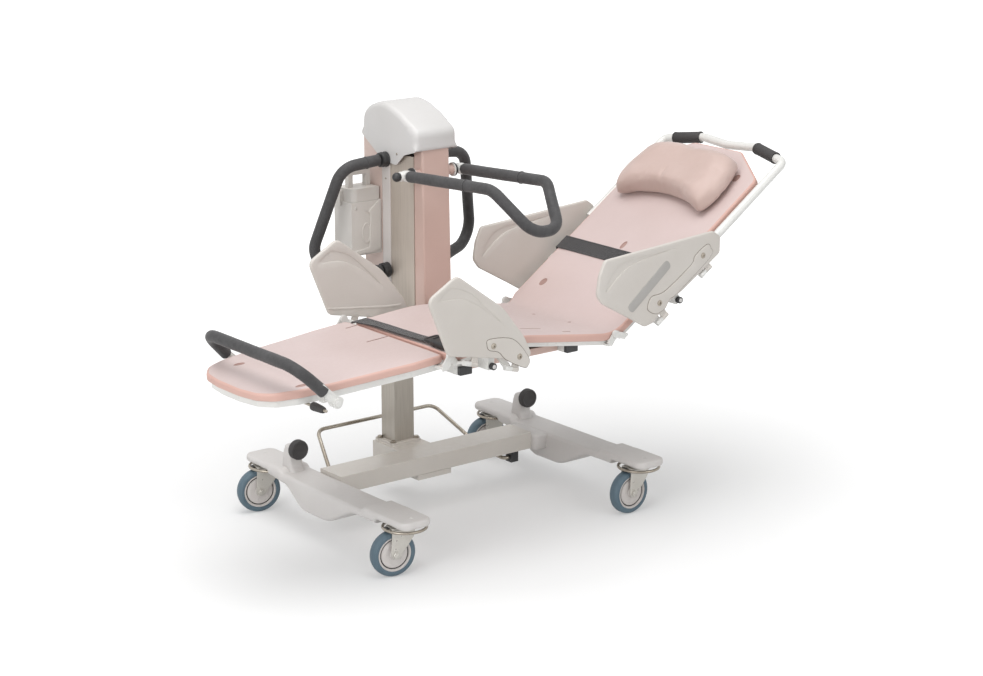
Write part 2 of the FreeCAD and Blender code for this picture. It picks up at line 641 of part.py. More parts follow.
ONE_EDGE = size.pin_radius / 2


def make_mast():
    mast = new_body("mast")
    half, wall = size.mast_half, size.mast_wall
    pad(mast, "XY_Plane", rectangle(-half, size.mast_near, half, MAST_FAR), FLANGE_TOP, size.mast_top)
    cut(mast, "XY_Plane", rectangle(-half + wall, size.mast_near + wall, half - wall, MAST_FAR - wall),
        FLANGE_TOP, size.mast_top)
    return mast


MAST_MIDDLE = size.mast_near + size.mast_deep / 2


def make_jack_tube():
    """The lifting jack's fixed tube inside the mast."""
    tube = new_body("jack_tube")
    pad(tube, "XY_Plane", (ZERO, MAST_MIDDLE, size.jack_radius), FLANGE_TOP, size.jack_top)
    cut(tube, "XY_Plane", (ZERO, MAST_MIDDLE, size.jack_bore), FLANGE_TOP + size.flange_high, size.jack_top)
    return tube


def make_pedal_blocks():
    """Bearing blocks under the beam for the foot pedal's shaft."""
    blocks = new_body("pedal_blocks")
    half = size.pedal_block_half
    low = size.pedal_pivot_z - half
    for side in (-1, 1):
        inner = (size.pedal_block_x * side) - size.pedal_block_long / 2
        outer = inner + size.pedal_block_long
        pad(blocks, "YZ_Plane", rectangle(size.pedal_pivot_y - half, low, size.pedal_pivot_y + half, BEAM_LOW),
            inner, outer)
        cut(blocks, "YZ_Plane", (size.pedal_pivot_y, size.pedal_pivot_z, size.pedal_wire + size.shaft_clearance),
            inner, outer)
    return blocks


def make_pedal_bar():
    """A bent bar across the base's far side, turning under the beam."""
    wire = size.pedal_wire
    tip = size.pedal_block_x + size.pedal_block_long / 2 + wire
    right = [point(tip, size.pedal_pivot_y, size.pedal_pivot_z),
             point(size.pedal_shoulder_x, size.pedal_pivot_y, size.pedal_pivot_z),
             point(size.pedal_elbow_x, size.pedal_elbow_y, size.pedal_elbow_z),
             point(size.pedal_corner_x, size.pedal_corner_y, size.pedal_corner_z)]
    corners = right + mirrored_x(right)[::-1]
    half_bends = [size.pedal_bend, size.pedal_corner_bend, size.pedal_corner_bend]
    return plain_feature("pedal_bar", rod_with_bends(corners, half_bends + half_bends[::-1], wire))


# Column: the sleeve that climbs the mast, with its covers, cap, battery and handles.

SIDE_OUT = size.sleeve_half + size.side_plate_thick
SIDE_FAR = size.side_plate_near + size.side_plate_deep


def make_sleeve():
    sleeve = new_body("lift_sleeve")
    half, wall = size.sleeve_half, size.sleeve_wall
    low, high = size.sleeve_low, size.sleeve_high
    pad(sleeve, "XY_Plane", rectangle(-half, size.sleeve_near, half, size.sleeve_far), low, high)
    middle = float(size.sleeve_near + size.sleeve_far) / 2
    dress(sleeve, "Fillet", lambda edge: along(Z_AXIS)(edge) and edge.BoundBox.YMin < middle, size.sleeve_corner)
    dress(sleeve, "Fillet", lambda edge: along(Z_AXIS)(edge) and edge.BoundBox.YMin > middle, size.sleeve_far_corner)
    neck = size.neck_half
    pad(sleeve, "XY_Plane", rectangle(-neck, size.neck_near, neck, size.sleeve_near + wall),
        size.neck_low, size.neck_high)
    cut(sleeve, "XY_Plane", rectangle(-neck + wall, size.neck_near + wall, neck - wall, size.sleeve_near),
        size.neck_low + wall, size.neck_high - wall)
    inner_low, inner_high = low + size.guide_high, high - size.guide_high
    inset = size.sleeve_corner / 2
    hollow = [(-half + wall, size.sleeve_near + inset), (-half + inset, size.sleeve_near + wall),
              (half - inset, size.sleeve_near + wall), (half - wall, size.sleeve_near + inset),
              (half - wall, size.sleeve_far - wall), (-half + wall, size.sleeve_far - wall)]
    cut(sleeve, "XY_Plane", hollow, inner_low, inner_high)
    gap = size.guide_clearance
    bore = rectangle(-size.mast_half - gap, size.mast_near - gap, size.mast_half + gap, MAST_FAR + gap)
    cut(sleeve, "XY_Plane", bore, low, high)
    return sleeve


def make_lift_motor():
    """Motor on top of the sleeve, with the jack rod that reaches down inside the mast."""
    motor = new_body("lift_motor")
    margin = size.motor_plate_margin
    half = size.sleeve_half - margin
    base = size.sleeve_high
    top = base + size.motor_plate_high
    plate = rectangle(-half, size.sleeve_near + size.sleeve_corner / 2, half, size.sleeve_far - margin)
    pad(motor, "XY_Plane", plate, base, top)
    box = rectangle(-size.motor_half, size.motor_near, size.motor_half, size.motor_near + size.motor_deep)
    pad(motor, "XY_Plane", box, top, top + size.motor_high)
    pad(motor, "XY_Plane", (ZERO, MAST_MIDDLE, size.jack_rod_radius), size.jack_rod_low, base)
    return motor


def make_front_cover():
    """Tall coloured casing in front of the neck, with bosses for the grab rail's shaft."""
    cover = new_body("front_cover")
    half, wall = size.front_cover_half, size.cover_wall
    low, high = size.front_cover_low, size.front_cover_high
    top_front = size.front_cover_front
    low_front = top_front - size.front_cover_lean
    pad(cover, "YZ_Plane", [(size.neck_near, low), (low_front, low), (top_front, high), (size.neck_near, high)],
        -half, half)
    dress(cover, "Fillet", lambda edge: edge.BoundBox.ZLength > float(high - low) * 0.9 and
          edge.BoundBox.YMin < float(top_front) + 1, size.front_cover_corner)
    boss = (size.rail_y, size.rail_z, size.boss_radius)
    pad(cover, "YZ_Plane", boss, -half - size.boss_long, half + size.boss_long)
    cut(cover, "YZ_Plane", [(size.neck_near - wall, low), (low_front + wall, low), (top_front + wall, high - wall),
                            (size.neck_near - wall, high - wall)], -half + wall, half - wall)
    bore = (size.rail_y, size.rail_z, size.rail_shaft_radius + size.shaft_clearance)
    cut(cover, "YZ_Plane", bore, -half - size.boss_long, half + size.boss_long)
    return cover


def make_side_plates():
    plates = new_body("side_plates")
    for side in (-1, 1):
        edges = [size.sleeve_half * side, SIDE_OUT * side]
        edges.sort(key=float)
        pad(plates, "XY_Plane", rectangle(edges[0], size.side_plate_near, edges[1], SIDE_FAR),
            size.side_plate_low, size.side_plate_high)
    return plates


def make_rear_cover():
    cover = new_body("rear_cover")
    near = SIDE_FAR + size.rear_cover_gap
    wall = size.cover_wall
    low, high = size.rear_cover_low, size.rear_cover_high
    pad(cover, "XY_Plane", rectangle(-SIDE_OUT, near, SIDE_OUT, size.rear_cover_far), low, high)
    dress(cover, "Fillet", lambda edge: along(Z_AXIS)(edge) and
          abs(edge.BoundBox.YMin - float(size.rear_cover_far)) < NEAR_ENOUGH_SHARE, size.rear_cover_corner)
    inset = size.rear_cover_corner / 2
    inner = [(-SIDE_OUT + wall, near), (SIDE_OUT - wall, near), (SIDE_OUT - wall, size.rear_cover_far - inset),
             (SIDE_OUT - inset, size.rear_cover_far - wall), (-SIDE_OUT + inset, size.rear_cover_far - wall),
             (-SIDE_OUT + wall, size.rear_cover_far - inset)]
    cut(cover, "XY_Plane", inner, low, high)
    long, tall = size.cap_back - size.cap_front, size.cap_high - size.cap_low
    rim = [(size.cap_front + long * across, size.cap_low + tall * up - size.cap_seat_gap)
           for across, up in (CAP_SHARES[8], CAP_SHARES[9], CAP_SHARES[10])]
    corner_y, corner_z = rim[0]
    near_y, near_z = rim[2]
    slant = rim + [(near_y, high), (corner_y, high)]
    cut(cover, "YZ_Plane", slant, -SIDE_OUT, SIDE_OUT)
    return cover


def make_head_cap():
    """Domed cap over the column's head."""
    cap = new_body("head_cap")
    long, tall = size.cap_back - size.cap_front, size.cap_high - size.cap_low
    outline = shared_outline(CAP_SHARES, size.cap_front, size.cap_low, long, tall)
    pad(cap, "YZ_Plane", outline, -size.cap_half, size.cap_half)
    front = float(size.cap_front)
    dress(cap, "Fillet", lambda edge: along(Z_AXIS)(edge) and abs(edge.BoundBox.YMin - front) < 1,
          size.cap_side_corner)
    dress(cap, "Fillet", lambda edge: crown_edge(edge), size.cap_crown_round)
    wall = size.cap_wall
    side_wall = wall + size.cap_side_corner / 8
    bays = [(size.cap_front_wall, size.front_cover_half + wall / 4),
            (size.cap_corner_wall, size.cap_half - size.cap_corner_wall),
            (size.cap_shoulder_wall, size.cap_half - side_wall)]
    for front_wall, half in bays:
        run = long - front_wall - wall
        inner = [(size.cap_front + front_wall + run * across, size.cap_low - wall + tall * up)
                 for across, up in CAP_SHARES]
        cut(cap, "YZ_Plane", inner, -half, half)
    return cap


def crown_edge(edge):
    """The straight slanting edges of the cap's top, on both sides."""
    box = edge.BoundBox
    side = abs(abs(box.XMin) - float(size.cap_half)) < NEAR_ENOUGH_SHARE and box.XLength < NEAR_ENOUGH_SHARE
    high = float(size.cap_low + (size.cap_high - size.cap_low) * 0.75)
    return side and box.ZMin > high and box.YLength > float(size.cap_wall)


def make_battery_holder():
    holder = new_body("battery_holder")
    far = size.battery_near + size.battery_deep
    out = SIDE_OUT + size.battery_out
    top = size.battery_low + size.holder_high
    wall = size.holder_wall
    pad(holder, "XY_Plane", rectangle(-out, size.battery_near, -SIDE_OUT, far), size.battery_low, top)
    cut(holder, "XY_Plane", rectangle(-out + wall, size.battery_near + wall, -SIDE_OUT - wall, far - wall),
        size.battery_low + wall, top)
    ear = size.latch_wide / 2
    ear_y = far - size.latch_from_back
    pad(holder, "XY_Plane", rectangle(-out, ear_y - ear, -out + wall, ear_y + ear), top, top + size.latch_above)
    pad(holder, "YZ_Plane", (ear_y, top + size.latch_pivot_up, size.latch_pin_radius),
        -out - size.latch_thick - size.latch_gap, -out)
    return holder


def make_battery_pack():
    """Slide-in battery with a carrying loop."""
    pack = new_body("battery_pack")
    inset = size.holder_wall + size.pack_gap
    near = size.battery_near + inset
    far = size.battery_near + size.battery_deep - inset
    out = -SIDE_OUT - size.battery_out + inset
    inner = -SIDE_OUT - inset
    low = size.battery_low + inset
    top = low + size.pack_high
    pad(pack, "XY_Plane", rectangle(out, near, inner, far), low, top)
    dress(pack, "Fillet", lambda edge: along(Z_AXIS)(edge) and edge.BoundBox.YMin < float(near) + 1 and
          edge.BoundBox.XMin < float(out) + 1, size.pack_corner)
    loop_low, loop_high = out + size.pack_grip_inset, inner - size.pack_grip_inset
    middle = (near + far) / 2
    near_side, far_side = middle - size.pack_grip_deep / 2, middle + size.pack_grip_deep / 2
    pad(pack, "XZ_Plane", rectangle(loop_low, top, loop_high, top + size.pack_grip_high), near_side, far_side)
    bar = size.pack_grip_bar
    cut(pack, "XZ_Plane", rectangle(loop_low + bar, top, loop_high - bar, top + size.pack_grip_high - bar),
        near_side, far_side)
    return pack


def make_battery_latch():
    latch = new_body("battery_latch")
    out = SIDE_OUT + size.battery_out
    middle = size.battery_near + size.battery_deep - size.latch_from_back
    pivot = size.battery_low + size.holder_high + size.latch_pivot_up
    half = size.latch_wide / 2
    face = -out - size.latch_gap
    pad(latch, "YZ_Plane", rectangle(middle - half, pivot - size.latch_high / 2, middle + half,
                                     pivot + size.latch_high / 2), face - size.latch_thick, face)
    dress(latch, "Fillet", along(X_AXIS), half / 2)
    cut(latch, "YZ_Plane", (middle, pivot, size.latch_pin_radius + size.pin_clearance),
        face - size.latch_thick, face)
    return latch


CUP_TOP_X = size.cap_half + size.cap_seat_gap


def handle_corners():
    """Path of the push handle on the head side."""
    return [point(CUP_TOP_X, size.handle_y, size.handle_top_z),
            point(SIDE_OUT + size.handle_stub, size.handle_y, size.handle_top_z),
            point(size.handle_top_x, size.handle_top_y, size.handle_top_corner_z),
            point(size.handle_low_x, size.handle_low_y, size.handle_low_corner_z),
            point(SIDE_OUT + size.handle_stub, size.handle_y, size.handle_low_z),
            point(SIDE_OUT, size.handle_y, size.handle_low_z)]


def rod_with_bends(corners, bends, radius):
    """A round bar whose corners have bend radii of their own."""
    edges = []
    start = corners[0]
    for place, (before, corner, after) in enumerate(zip(corners, corners[1:], corners[2:])):
        bend = float(bends[place])
        back = (before - corner).normalize()
        ahead = (after - corner).normalize()
        half = back.getAngle(ahead) / 2
        inward = (back + ahead).normalize()
        trim = bend / math.tan(half)
        centre = corner + inward * (bend / math.sin(half))
        entry, leave = corner + back * trim, corner + ahead * trim
        edges.append(Part.LineSegment(start, entry).toShape())
        edges.append(Part.Arc(entry, centre - inward * bend, leave).toShape())
        start = leave
    edges.append(Part.LineSegment(start, corners[-1]).toShape())
    circle = Part.Circle(corners[0], corners[1] - corners[0], float(radius))
    return Part.Wire(edges).makePipeShell([Part.Wire([circle.toShape()])], True, False)


def make_push_handles():
    bend = size.handle_bend
    small = bend / 2
    bends = [small, bend, bend, small]
    path = handle_corners()
    foam_path = trimmed(path, size.cup_long, size.cup_long)
    tubes, foams = [], []
    for corners, padded in ((path, foam_path), (mirrored_x(path), mirrored_x(foam_path))):
        tubes.append(rod_with_bends(corners, bends, size.handle_tube_radius))
        outer = rod_with_bends(padded, bends, size.handle_foam_radius)
        outer = outer.cut(rod_with_bends(padded, bends, size.handle_tube_radius + size.foam_clearance))
        foams.append(outer)
    plain_feature("push_handles", Part.makeCompound(tubes))
    plain_feature("push_grips", Part.makeCompound(foams))


def make_handle_cups():
    cups = new_body("handle_cups")
    for side in (-1, 1):
        for level, inner in ((size.handle_top_z, CUP_TOP_X), (size.handle_low_z, SIDE_OUT)):
            ends = [inner * side, (inner + size.cup_long) * side]
            ends.sort(key=float)
            pad(cups, "YZ_Plane", (size.handle_y, level, size.cup_radius), ends[0], ends[1])
            cut(cups, "YZ_Plane", (size.handle_y, level, size.handle_tube_radius + size.foam_clearance),
                ends[0], ends[1])
    return cups


RAIL_TIP_Y = size.rail_y - size.rail_reach
RAIL_TIP_Z = size.rail_z + size.rail_rise


def rail_corners():
    half = size.rail_tip_half
    down = RAIL_TIP_Z - size.rail_drop
    tip = RAIL_TIP_Y - size.rail_tip_reach
    right = [point(size.rail_leg_x, size.rail_y, size.rail_z), point(size.rail_leg_x, RAIL_TIP_Y, RAIL_TIP_Z),
             point(half, tip, down)]
    return right + mirrored_x(right)[::-1]


def rail_shaft():
    """The rail's shaft, turned as one piece with its two collars and the ball on its end."""
    end = float(size.rail_leg_x + size.shaft_overrun + size.rail_tube_radius)
    bar = float(size.rail_shaft_radius)
    ball_x, ball = float(size.rail_ball_x), float(size.rail_ball_radius)
    throat = ball_x - math.sqrt(ball ** 2 - (bar * 0.8) ** 2)
    collar = float(size.front_cover_half + size.boss_long + size.rail_collar_gap)
    collar_end = collar + float(size.rail_collar_long)
    wide = float(size.rail_collar_radius)
    spots = [(-throat, bar * 0.8), (-end, bar * 0.8), (-end, bar), (-collar_end, bar), (-collar_end, wide),
             (-collar, wide), (-collar, bar), (collar, bar), (collar, wide), (collar_end, wide), (collar_end, bar),
             (end, bar), (end, 0)]
    spots = [Vector(x, 0, radius) for x, radius in spots]
    tip = Vector(-ball_x - ball, 0, 0)
    edges = [Part.Arc(tip, Vector(-ball_x, 0, ball), spots[0]).toShape()]
    edges += [Part.LineSegment(a, b).toShape() for a, b in zip(spots, spots[1:])]
    edges.append(Part.LineSegment(spots[-1], tip).toShape())
    solid = Part.Face(Part.Wire(edges)).revolve(ORIGIN, X_AXIS, 360)
    solid.translate(point(ZERO, size.rail_y, size.rail_z))
    return solid


def make_grab_rail():
    """Patient's grab rail: a shaft through the front cover and a long loop over the bed."""
    corners = rail_corners()
    loop = rod(corners, size.rail_bend, size.rail_tube_radius)
    plain_feature("grab_rail", loop.fuse(rail_shaft()))
    foam = trimmed(corners, size.rail_foam_start, size.rail_foam_start)
    plain_feature("grab_rail_foam", sleeve_tube(foam, size.rail_bend, size.rail_foam_radius,
                                                size.rail_tube_radius + size.foam_clearance))


# Bed: arms, under-pan, and the seat, back and leg sections.

BED_Y = -size.bed_centre_y
SEAT_NEAR_EDGE = size.bed_centre_y + size.pad_half
ARM_NEAR = SEAT_NEAR_EDGE - size.arm_setback
PAN_NEAR = ARM_NEAR - size.pan_setback
PANEL_INNER_V = size.pad_half + size.panel_out
HEAD_TUBE_V = size.pad_half + size.head_tube_out
FOLD_PLATE_V = size.pad_half + size.fold_plate_out
LEG_WAIST_U = size.leg_pad_reach - size.leg_waist_run
LEG_FOOT_U = size.leg_pad_reach - size.leg_foot_run
FOOT_PIVOT_U = size.leg_pad_reach - size.foot_pivot_run
FOOT_TOP_U = size.leg_pad_reach - size.foot_top_run
RELEASE_U = size.leg_pad_reach - size.release_run
HEAD_CORNER_U = size.back_long + size.head_corner_past
HEAD_PEAK_U = size.back_long + size.head_peak_past
HEAD_DIP_U = size.back_long + size.head_dip_past
HEAD_LUG_HIGH_U = size.back_long - size.head_lug_high_from
TRAY_LOW = size.pad_thick + size.tray_gap + size.tray_thick


def seat_height(x):
    """Height of the seat's top face between the knee and the crest."""
    return size.knee_z + (size.crest_z - size.knee_z) / (size.knee_x - size.crest_x) * (x + size.knee_x)


def make_arm_frame():
    """Two arms under the bed, their cross tube and the bracket on the column's neck."""
    arms = new_body("arm_frame")
    low, top = size.arm_top - size.arm_high, size.arm_top
    foot_low, head_high = -size.arm_foot_x - size.arm_half, size.arm_head_x + size.arm_half
    pad(arms, "XY_Plane", rectangle(foot_low, -size.cross_near, head_high, size.cross_far), low, top)
    for middle in (-size.arm_foot_x, size.arm_head_x):
        pad(arms, "XY_Plane", rectangle(middle - size.arm_half, -ARM_NEAR, middle + size.arm_half,
                                        -size.cross_near), low, top)
        cut(arms, "XZ_Plane", rectangle(middle - size.arm_half + size.arm_wall, low + size.arm_wall,
                                        middle + size.arm_half - size.arm_wall, top - size.arm_wall),
            -ARM_NEAR, -size.cross_near)
    low_x, high_x = -size.arm_foot_x - size.arm_half, -size.arm_foot_x + size.arm_half
    riser = [(low_x, top), (high_x, top), (high_x, seat_height(high_x) - TRAY_LOW - size.tray_gap),
             (low_x, seat_height(low_x) - TRAY_LOW - size.tray_gap)]
    for start in (-ARM_NEAR, -size.cross_near - size.arm_riser_long):
        pad(arms, "XZ_Plane", riser, start, start + size.arm_riser_long)
    pad(arms, "XY_Plane", rectangle(-size.arm_bracket_half, -size.arm_bracket_near, size.arm_bracket_half,
                                    size.neck_near), size.arm_bracket_low, top)
    return arms


def make_arm_caps():
    caps = new_body("arm_caps")
    low, top = size.arm_top - size.arm_high, size.arm_top
    blocks = [rectangle(middle - size.arm_half, low, middle + size.arm_half, top)
              for middle in (-size.arm_foot_x, size.arm_head_x)]
    pad(caps, "XZ_Plane", blocks, -ARM_NEAR - size.arm_cap_long, -ARM_NEAR)
    return caps


def make_under_pan():
    pan = new_body("under_pan")
    gap, wall = size.pan_gap, size.pan_wall
    foot = -size.arm_foot_x + size.arm_half + gap
    head = size.arm_head_x - size.arm_half - gap
    low = size.arm_top - size.arm_high
    near, far = -PAN_NEAR, -size.cross_near - gap
    pad(pan, "XY_Plane", rectangle(foot, near, head, far), low, low + size.pan_high)
    cut(pan, "XY_Plane", rectangle(foot + wall, near + wall, head - wall, far - wall), low + wall, low + size.pan_high)
    return pan


def seat_profile(drop_top, drop_low, inset):
    """Side view of the seat between two depths under its bent top face."""
    foot = -size.knee_x + size.fold_gap / 2 + inset
    head = size.hip_x - size.fold_gap / 2 - inset
    rise = (size.crest_z - size.knee_z) / (size.knee_x - size.crest_x)
    fall = (size.crest_z - size.hip_z) / (size.hip_x + size.crest_x)
    foot_z = size.knee_z + rise * (foot + size.knee_x)
    head_z = size.hip_z + fall * (size.hip_x - head)
    top = [(foot, foot_z - drop_top), (-size.crest_x, size.crest_z - drop_top), (head, head_z - drop_top)]
    low = [(head, head_z - drop_low), (-size.crest_x, size.crest_z - drop_low), (foot, foot_z - drop_low)]
    return top + low


def make_seat_pad():
    cushion = new_body("seat_pad")
    pad(cushion, "XZ_Plane", seat_profile(ZERO, size.pad_thick, ZERO), -SEAT_NEAR_EDGE, -size.seat_far_edge)
    near, far = float(-SEAT_NEAR_EDGE), float(-size.seat_far_edge)

    def upper(edge):
        if not at_level(1, near, far)(edge):
            return False
        box = edge.BoundBox
        return box.XLength > float(size.pad_thick) and box.ZMax > float(size.hip_z) and \
            cushion_top(edge.CenterOfMass.x) - edge.CenterOfMass.z < float(size.pad_thick) / 2
    dress(cushion, "Fillet", upper, size.pad_round)
    slot = rectangle(ZERO, BED_Y * 1.6 - size.slot_wide / 2, size.slot_long, BED_Y * 1.6 + size.slot_wide / 2)
    cut(cushion, "XY_Plane", slot, size.hip_z - size.pad_thick, size.crest_z)
    return cushion


def cushion_top(x):
    """Height of the seat's top face at a distance along the bed."""
    crest = -float(size.crest_x)
    if x < crest:
        share = (crest - x) / float(size.knee_x - size.crest_x)
        return float(size.crest_z) - share * float(size.crest_z - size.knee_z)
    share = (x - crest) / float(size.hip_x + size.crest_x)
    return float(size.crest_z) - share * float(size.crest_z - size.hip_z)


def knuckle_line(axis_start, direction, first, second):
    """Start points of the two outer knuckles along a hinge line."""
    return [axis_start + direction * float(first), axis_start + direction * float(second)]


SEAT_AXIS_DIRECTION = Vector(math.cos(math.radians(SIZES["seat_axis_tilt"])), 0,
                             -math.sin(math.radians(SIZES["seat_axis_tilt"])))
PANEL_MIDDLE_V = PANEL_INNER_V + size.panel_thick / 2


def seat_axis_start(side):
    return point(-size.seat_axis_foot_x, BED_Y + PANEL_MIDDLE_V * side, size.seat_axis_foot_z)


def hinge_knuckles(starts, direction, reach_out, hole):
    """Knuckle barrels with the pin through them, at the given starts."""
    pieces = []
    for start in starts:
        barrel = round_bar(start, direction, size.knuckle_radius, size.knuckle_long)
        pieces.append(barrel)
    return pieces


def make_seat_frame():
    """Moulded tray under the seat pad, with hangers out to the side panels' hinges."""
    top_drop = size.pad_thick + size.tray_gap
    outline = seat_profile(top_drop, top_drop + size.tray_thick, size.tray_inset)
    near = -SEAT_NEAR_EDGE + size.tray_inset
    far = -size.seat_far_edge - size.tray_inset
    corners = [point(x, ZERO, z) for x, z in outline]
    face = Part.Face(Part.makePolygon(corners + corners[:1]))
    face.translate(point(ZERO, near, ZERO))
    tray = face.extrude(point(ZERO, far - near, ZERO))
    pieces = []
    for side in (-1, 1):
        start = seat_axis_start(side)
        edge_y = float(near if side < 0 else far)
        for first in (size.seat_knuckle_first, size.seat_knuckle_second):
            spot = start + SEAT_AXIS_DIRECTION * float(first)
            top = cushion_top(spot.x) - float(top_drop + size.tray_thick / 3)
            pieces.append(hanger(spot, edge_y, top, side))
            pieces.append(round_bar(spot, SEAT_AXIS_DIRECTION, size.knuckle_radius, size.knuckle_long))
            pin_end = spot + SEAT_AXIS_DIRECTION * float(size.knuckle_long)
            pieces.append(round_bar(pin_end, SEAT_AXIS_DIRECTION, size.pin_radius, size.knuckle_long))
        spot = start + SEAT_AXIS_DIRECTION * float(size.seat_knob_along)
        top = cushion_top(spot.x) - float(top_drop + size.tray_thick / 3)
        pieces.append(knob_block(spot, side, edge_y, top))
        for axis, toward in ((SEAT_KNEE, 1), (SEAT_HIP, -1)):
            pieces.extend(fold_plate(axis, toward, side, ZERO, True))
    frame = tray.multiFuse(pieces)
    return plain_feature("seat_frame", frame)


def hanger(spot, edge_y, top_z, side):
    """Plate that reaches from the tray's edge down and out to a hinge knuckle."""
    thick = float(size.tray_thick)
    outer = spot.y - side * float(size.knuckle_radius) / 2
    inner = edge_y - side * thick
    corners = [Vector(spot.x, inner, top_z), Vector(spot.x, outer, spot.z + float(size.pin_radius)),
               Vector(spot.x, outer, spot.z - float(size.pin_radius)), Vector(spot.x, inner, top_z - thick / 2)]
    face = Part.Face(Part.makePolygon(corners + corners[:1]))
    return face.extrude(point(size.knuckle_long * cosine(size.seat_axis_tilt), ZERO, ZERO))


def knob_block(spot, side, edge_y, top_z):
    """Block under the tray's edge that holds a panel's locking plunger."""
    half = float(size.knob_block_half)
    face_y = float(BED_Y) + side * float(PANEL_INNER_V - size.knob_gap)
    inner = edge_y - side * float(size.tray_thick)
    low_y, high_y = min(face_y, inner), max(face_y, inner)
    block = Part.makeBox(2 * half, high_y - low_y, top_z - spot.z + half,
                         Vector(spot.x - half, low_y, spot.z - half))
    bore = round_bar(Vector(spot.x, face_y, spot.z), Vector(0, -side, 0),
                     size.knob_stem_radius + size.pin_clearance, size.knob_block_deep)
    return block.cut(bore)


SEAT_KNEE = point(-size.knee_x, BED_Y, size.knee_z)
SEAT_HIP = point(size.hip_x, BED_Y, size.hip_z)


def fold_plate(axis, toward, side, shift, has_pin):
    """Side plate of a fold hinge: an eye at the axis, an arm down to a foot, and the foot under the pad."""
    inner = float(FOLD_PLATE_V + shift)
    thick = float(size.fold_plate_thick)
    low = axis.y + (inner if side > 0 else -inner - thick)
    radius = float(size.fold_plate_radius)
    foot = axis + point(size.fold_reach * toward, ZERO, -size.fold_drop)
    run = (foot - axis).normalize()
    across = Vector(-run.z, 0, run.x) * radius * 0.8
    corners = [axis + across, foot + across, foot - across, axis - across]
    corners = [Vector(corner.x, low, corner.z) for corner in corners]
    arm = Part.Face(Part.makePolygon(corners + corners[:1])).extrude(Y_AXIS * thick)
    eye = Part.makeCylinder(radius, thick, Vector(axis.x, low, axis.z), Y_AXIS)
    half = float(size.fold_foot_half)
    reach = float(size.leg_foot_half)
    start = axis.y + (reach if side > 0 else -inner - thick)
    block = Part.makeBox(2 * half, inner + thick - reach, float(size.tray_thick) / 2,
                         Vector(foot.x - half, start, axis.z - float(size.fold_drop) - float(size.tray_thick) / 4))
    pin_radius = float(size.fold_pin_radius)
    if has_pin:
        length = thick + float(size.fold_plate_gap)
        base = Vector(axis.x, axis.y + side * (inner + thick), axis.z)
        return [eye.fuse(arm), block, Part.makeCylinder(pin_radius, length, base, Vector(0, side, 0))]
    bore = Part.makeCylinder(pin_radius + float(size.pin_clearance), thick, Vector(axis.x, low, axis.z), Y_AXIS)
    return [eye.fuse(arm).cut(bore), block]


def make_thigh_strap():
    """Strap and buckle that lie over the seat pad near the knee."""
    lift = float(size.strap_gap)
    x_far = -float(size.thigh_strap_x)
    x_near = x_far + float(size.thigh_strap_skew)
    wide = float(size.strap_wide)
    far = float(-size.seat_far_edge - size.strap_inset)
    near = float(-SEAT_NEAR_EDGE + size.strap_inset)
    corners = [(x_far, far), (x_far + wide, far), (x_near + wide, near), (x_near, near)]
    top = [Vector(x, y, cushion_top(x) + lift) for x, y in corners]
    low = Part.Face(Part.makePolygon(top + top[:1]))
    band = low.extrude(point(ZERO, ZERO, size.strap_thick))
    foot_x = x_near + wide / 2 - float(size.buckle_wide) / 2
    head_x = foot_x + float(size.buckle_wide)
    over = lift + float(size.strap_thick)
    tall = float(size.buckle_high)
    far_end = near + float(size.buckle_margin + size.buckle_long)
    side_view = [Vector(foot_x, far_end, cushion_top(foot_x) + over),
                 Vector(head_x, far_end, cushion_top(head_x) + over),
                 Vector(head_x, far_end, cushion_top(head_x) + over + tall * 0.7),
                 Vector(foot_x, far_end, cushion_top(foot_x) + over + tall)]
    buckle = Part.Face(Part.makePolygon(side_view + side_view[:1])).extrude(point(ZERO, -size.buckle_long, ZERO))
    return plain_feature("thigh_strap", Part.makeCompound([band, buckle]))


# Leg section: own axes with the origin on the pad's top at the knee, X along the bed.

LEG_PLACE = Placement(point(-size.knee_x, BED_Y, size.knee_z), Rotation(Y_AXIS, -SIZES["leg_tilt"]))


def leg_plan(inset):
    """Plan of the leg section: it narrows towards a rounded, gently bulged foot end."""
    foot = size.leg_pad_reach - inset
    foot_half = size.leg_foot_half - inset
    corner = size.leg_foot_corner
    side = [(-size.fold_gap / 2 - inset, size.leg_knee_half - inset),
            (-size.leg_neck_u, size.leg_knee_half - inset),
            (-LEG_WAIST_U, size.leg_waist_half - inset),
            (-LEG_FOOT_U, foot_half),
            (-foot + size.foot_bulge + corner * 0.28, foot_half - corner * 0.22),
            (-foot + size.foot_bulge, foot_half - corner * 0.62),
            (-foot, foot_half - corner * 1.25)]
    return side + [(x, -y) for x, y in side[::-1]]


def make_leg_pad():
    cushion = new_body("leg_pad", LEG_PLACE)
    pad(cushion, "XY_Plane", leg_plan(ZERO), -size.pad_thick, ZERO)
    dress(cushion, "Fillet", lambda edge: along(Z_AXIS)(edge) and
          edge.BoundBox.XMin < -float(size.leg_pad_reach) / 2, size.leg_foot_corner / 4)
    dress(cushion, "Fillet", at_level(2, ZERO), size.pad_round)
    slot = rectangle(-size.slot_long, -size.slot_wide / 2, -size.small_slot_long, size.slot_wide / 2)
    cut(cushion, "XY_Plane", slot, -size.pad_thick, ZERO)
    knee = -size.fold_gap / 2
    relief = [(knee, ZERO), (knee - size.knee_relief, -size.pad_thick), (knee, -size.pad_thick)]
    cut(cushion, "XZ_Plane", relief, -size.leg_knee_half, size.leg_knee_half)
    drains = [(-LEG_FOOT_U, size.leg_foot_corner * 0.74, size.drain_radius),
              (-LEG_FOOT_U, -size.leg_foot_corner * 1.35, size.drain_radius)]
    cut(cushion, "XY_Plane", drains, -size.drain_deep, ZERO)
    return cushion


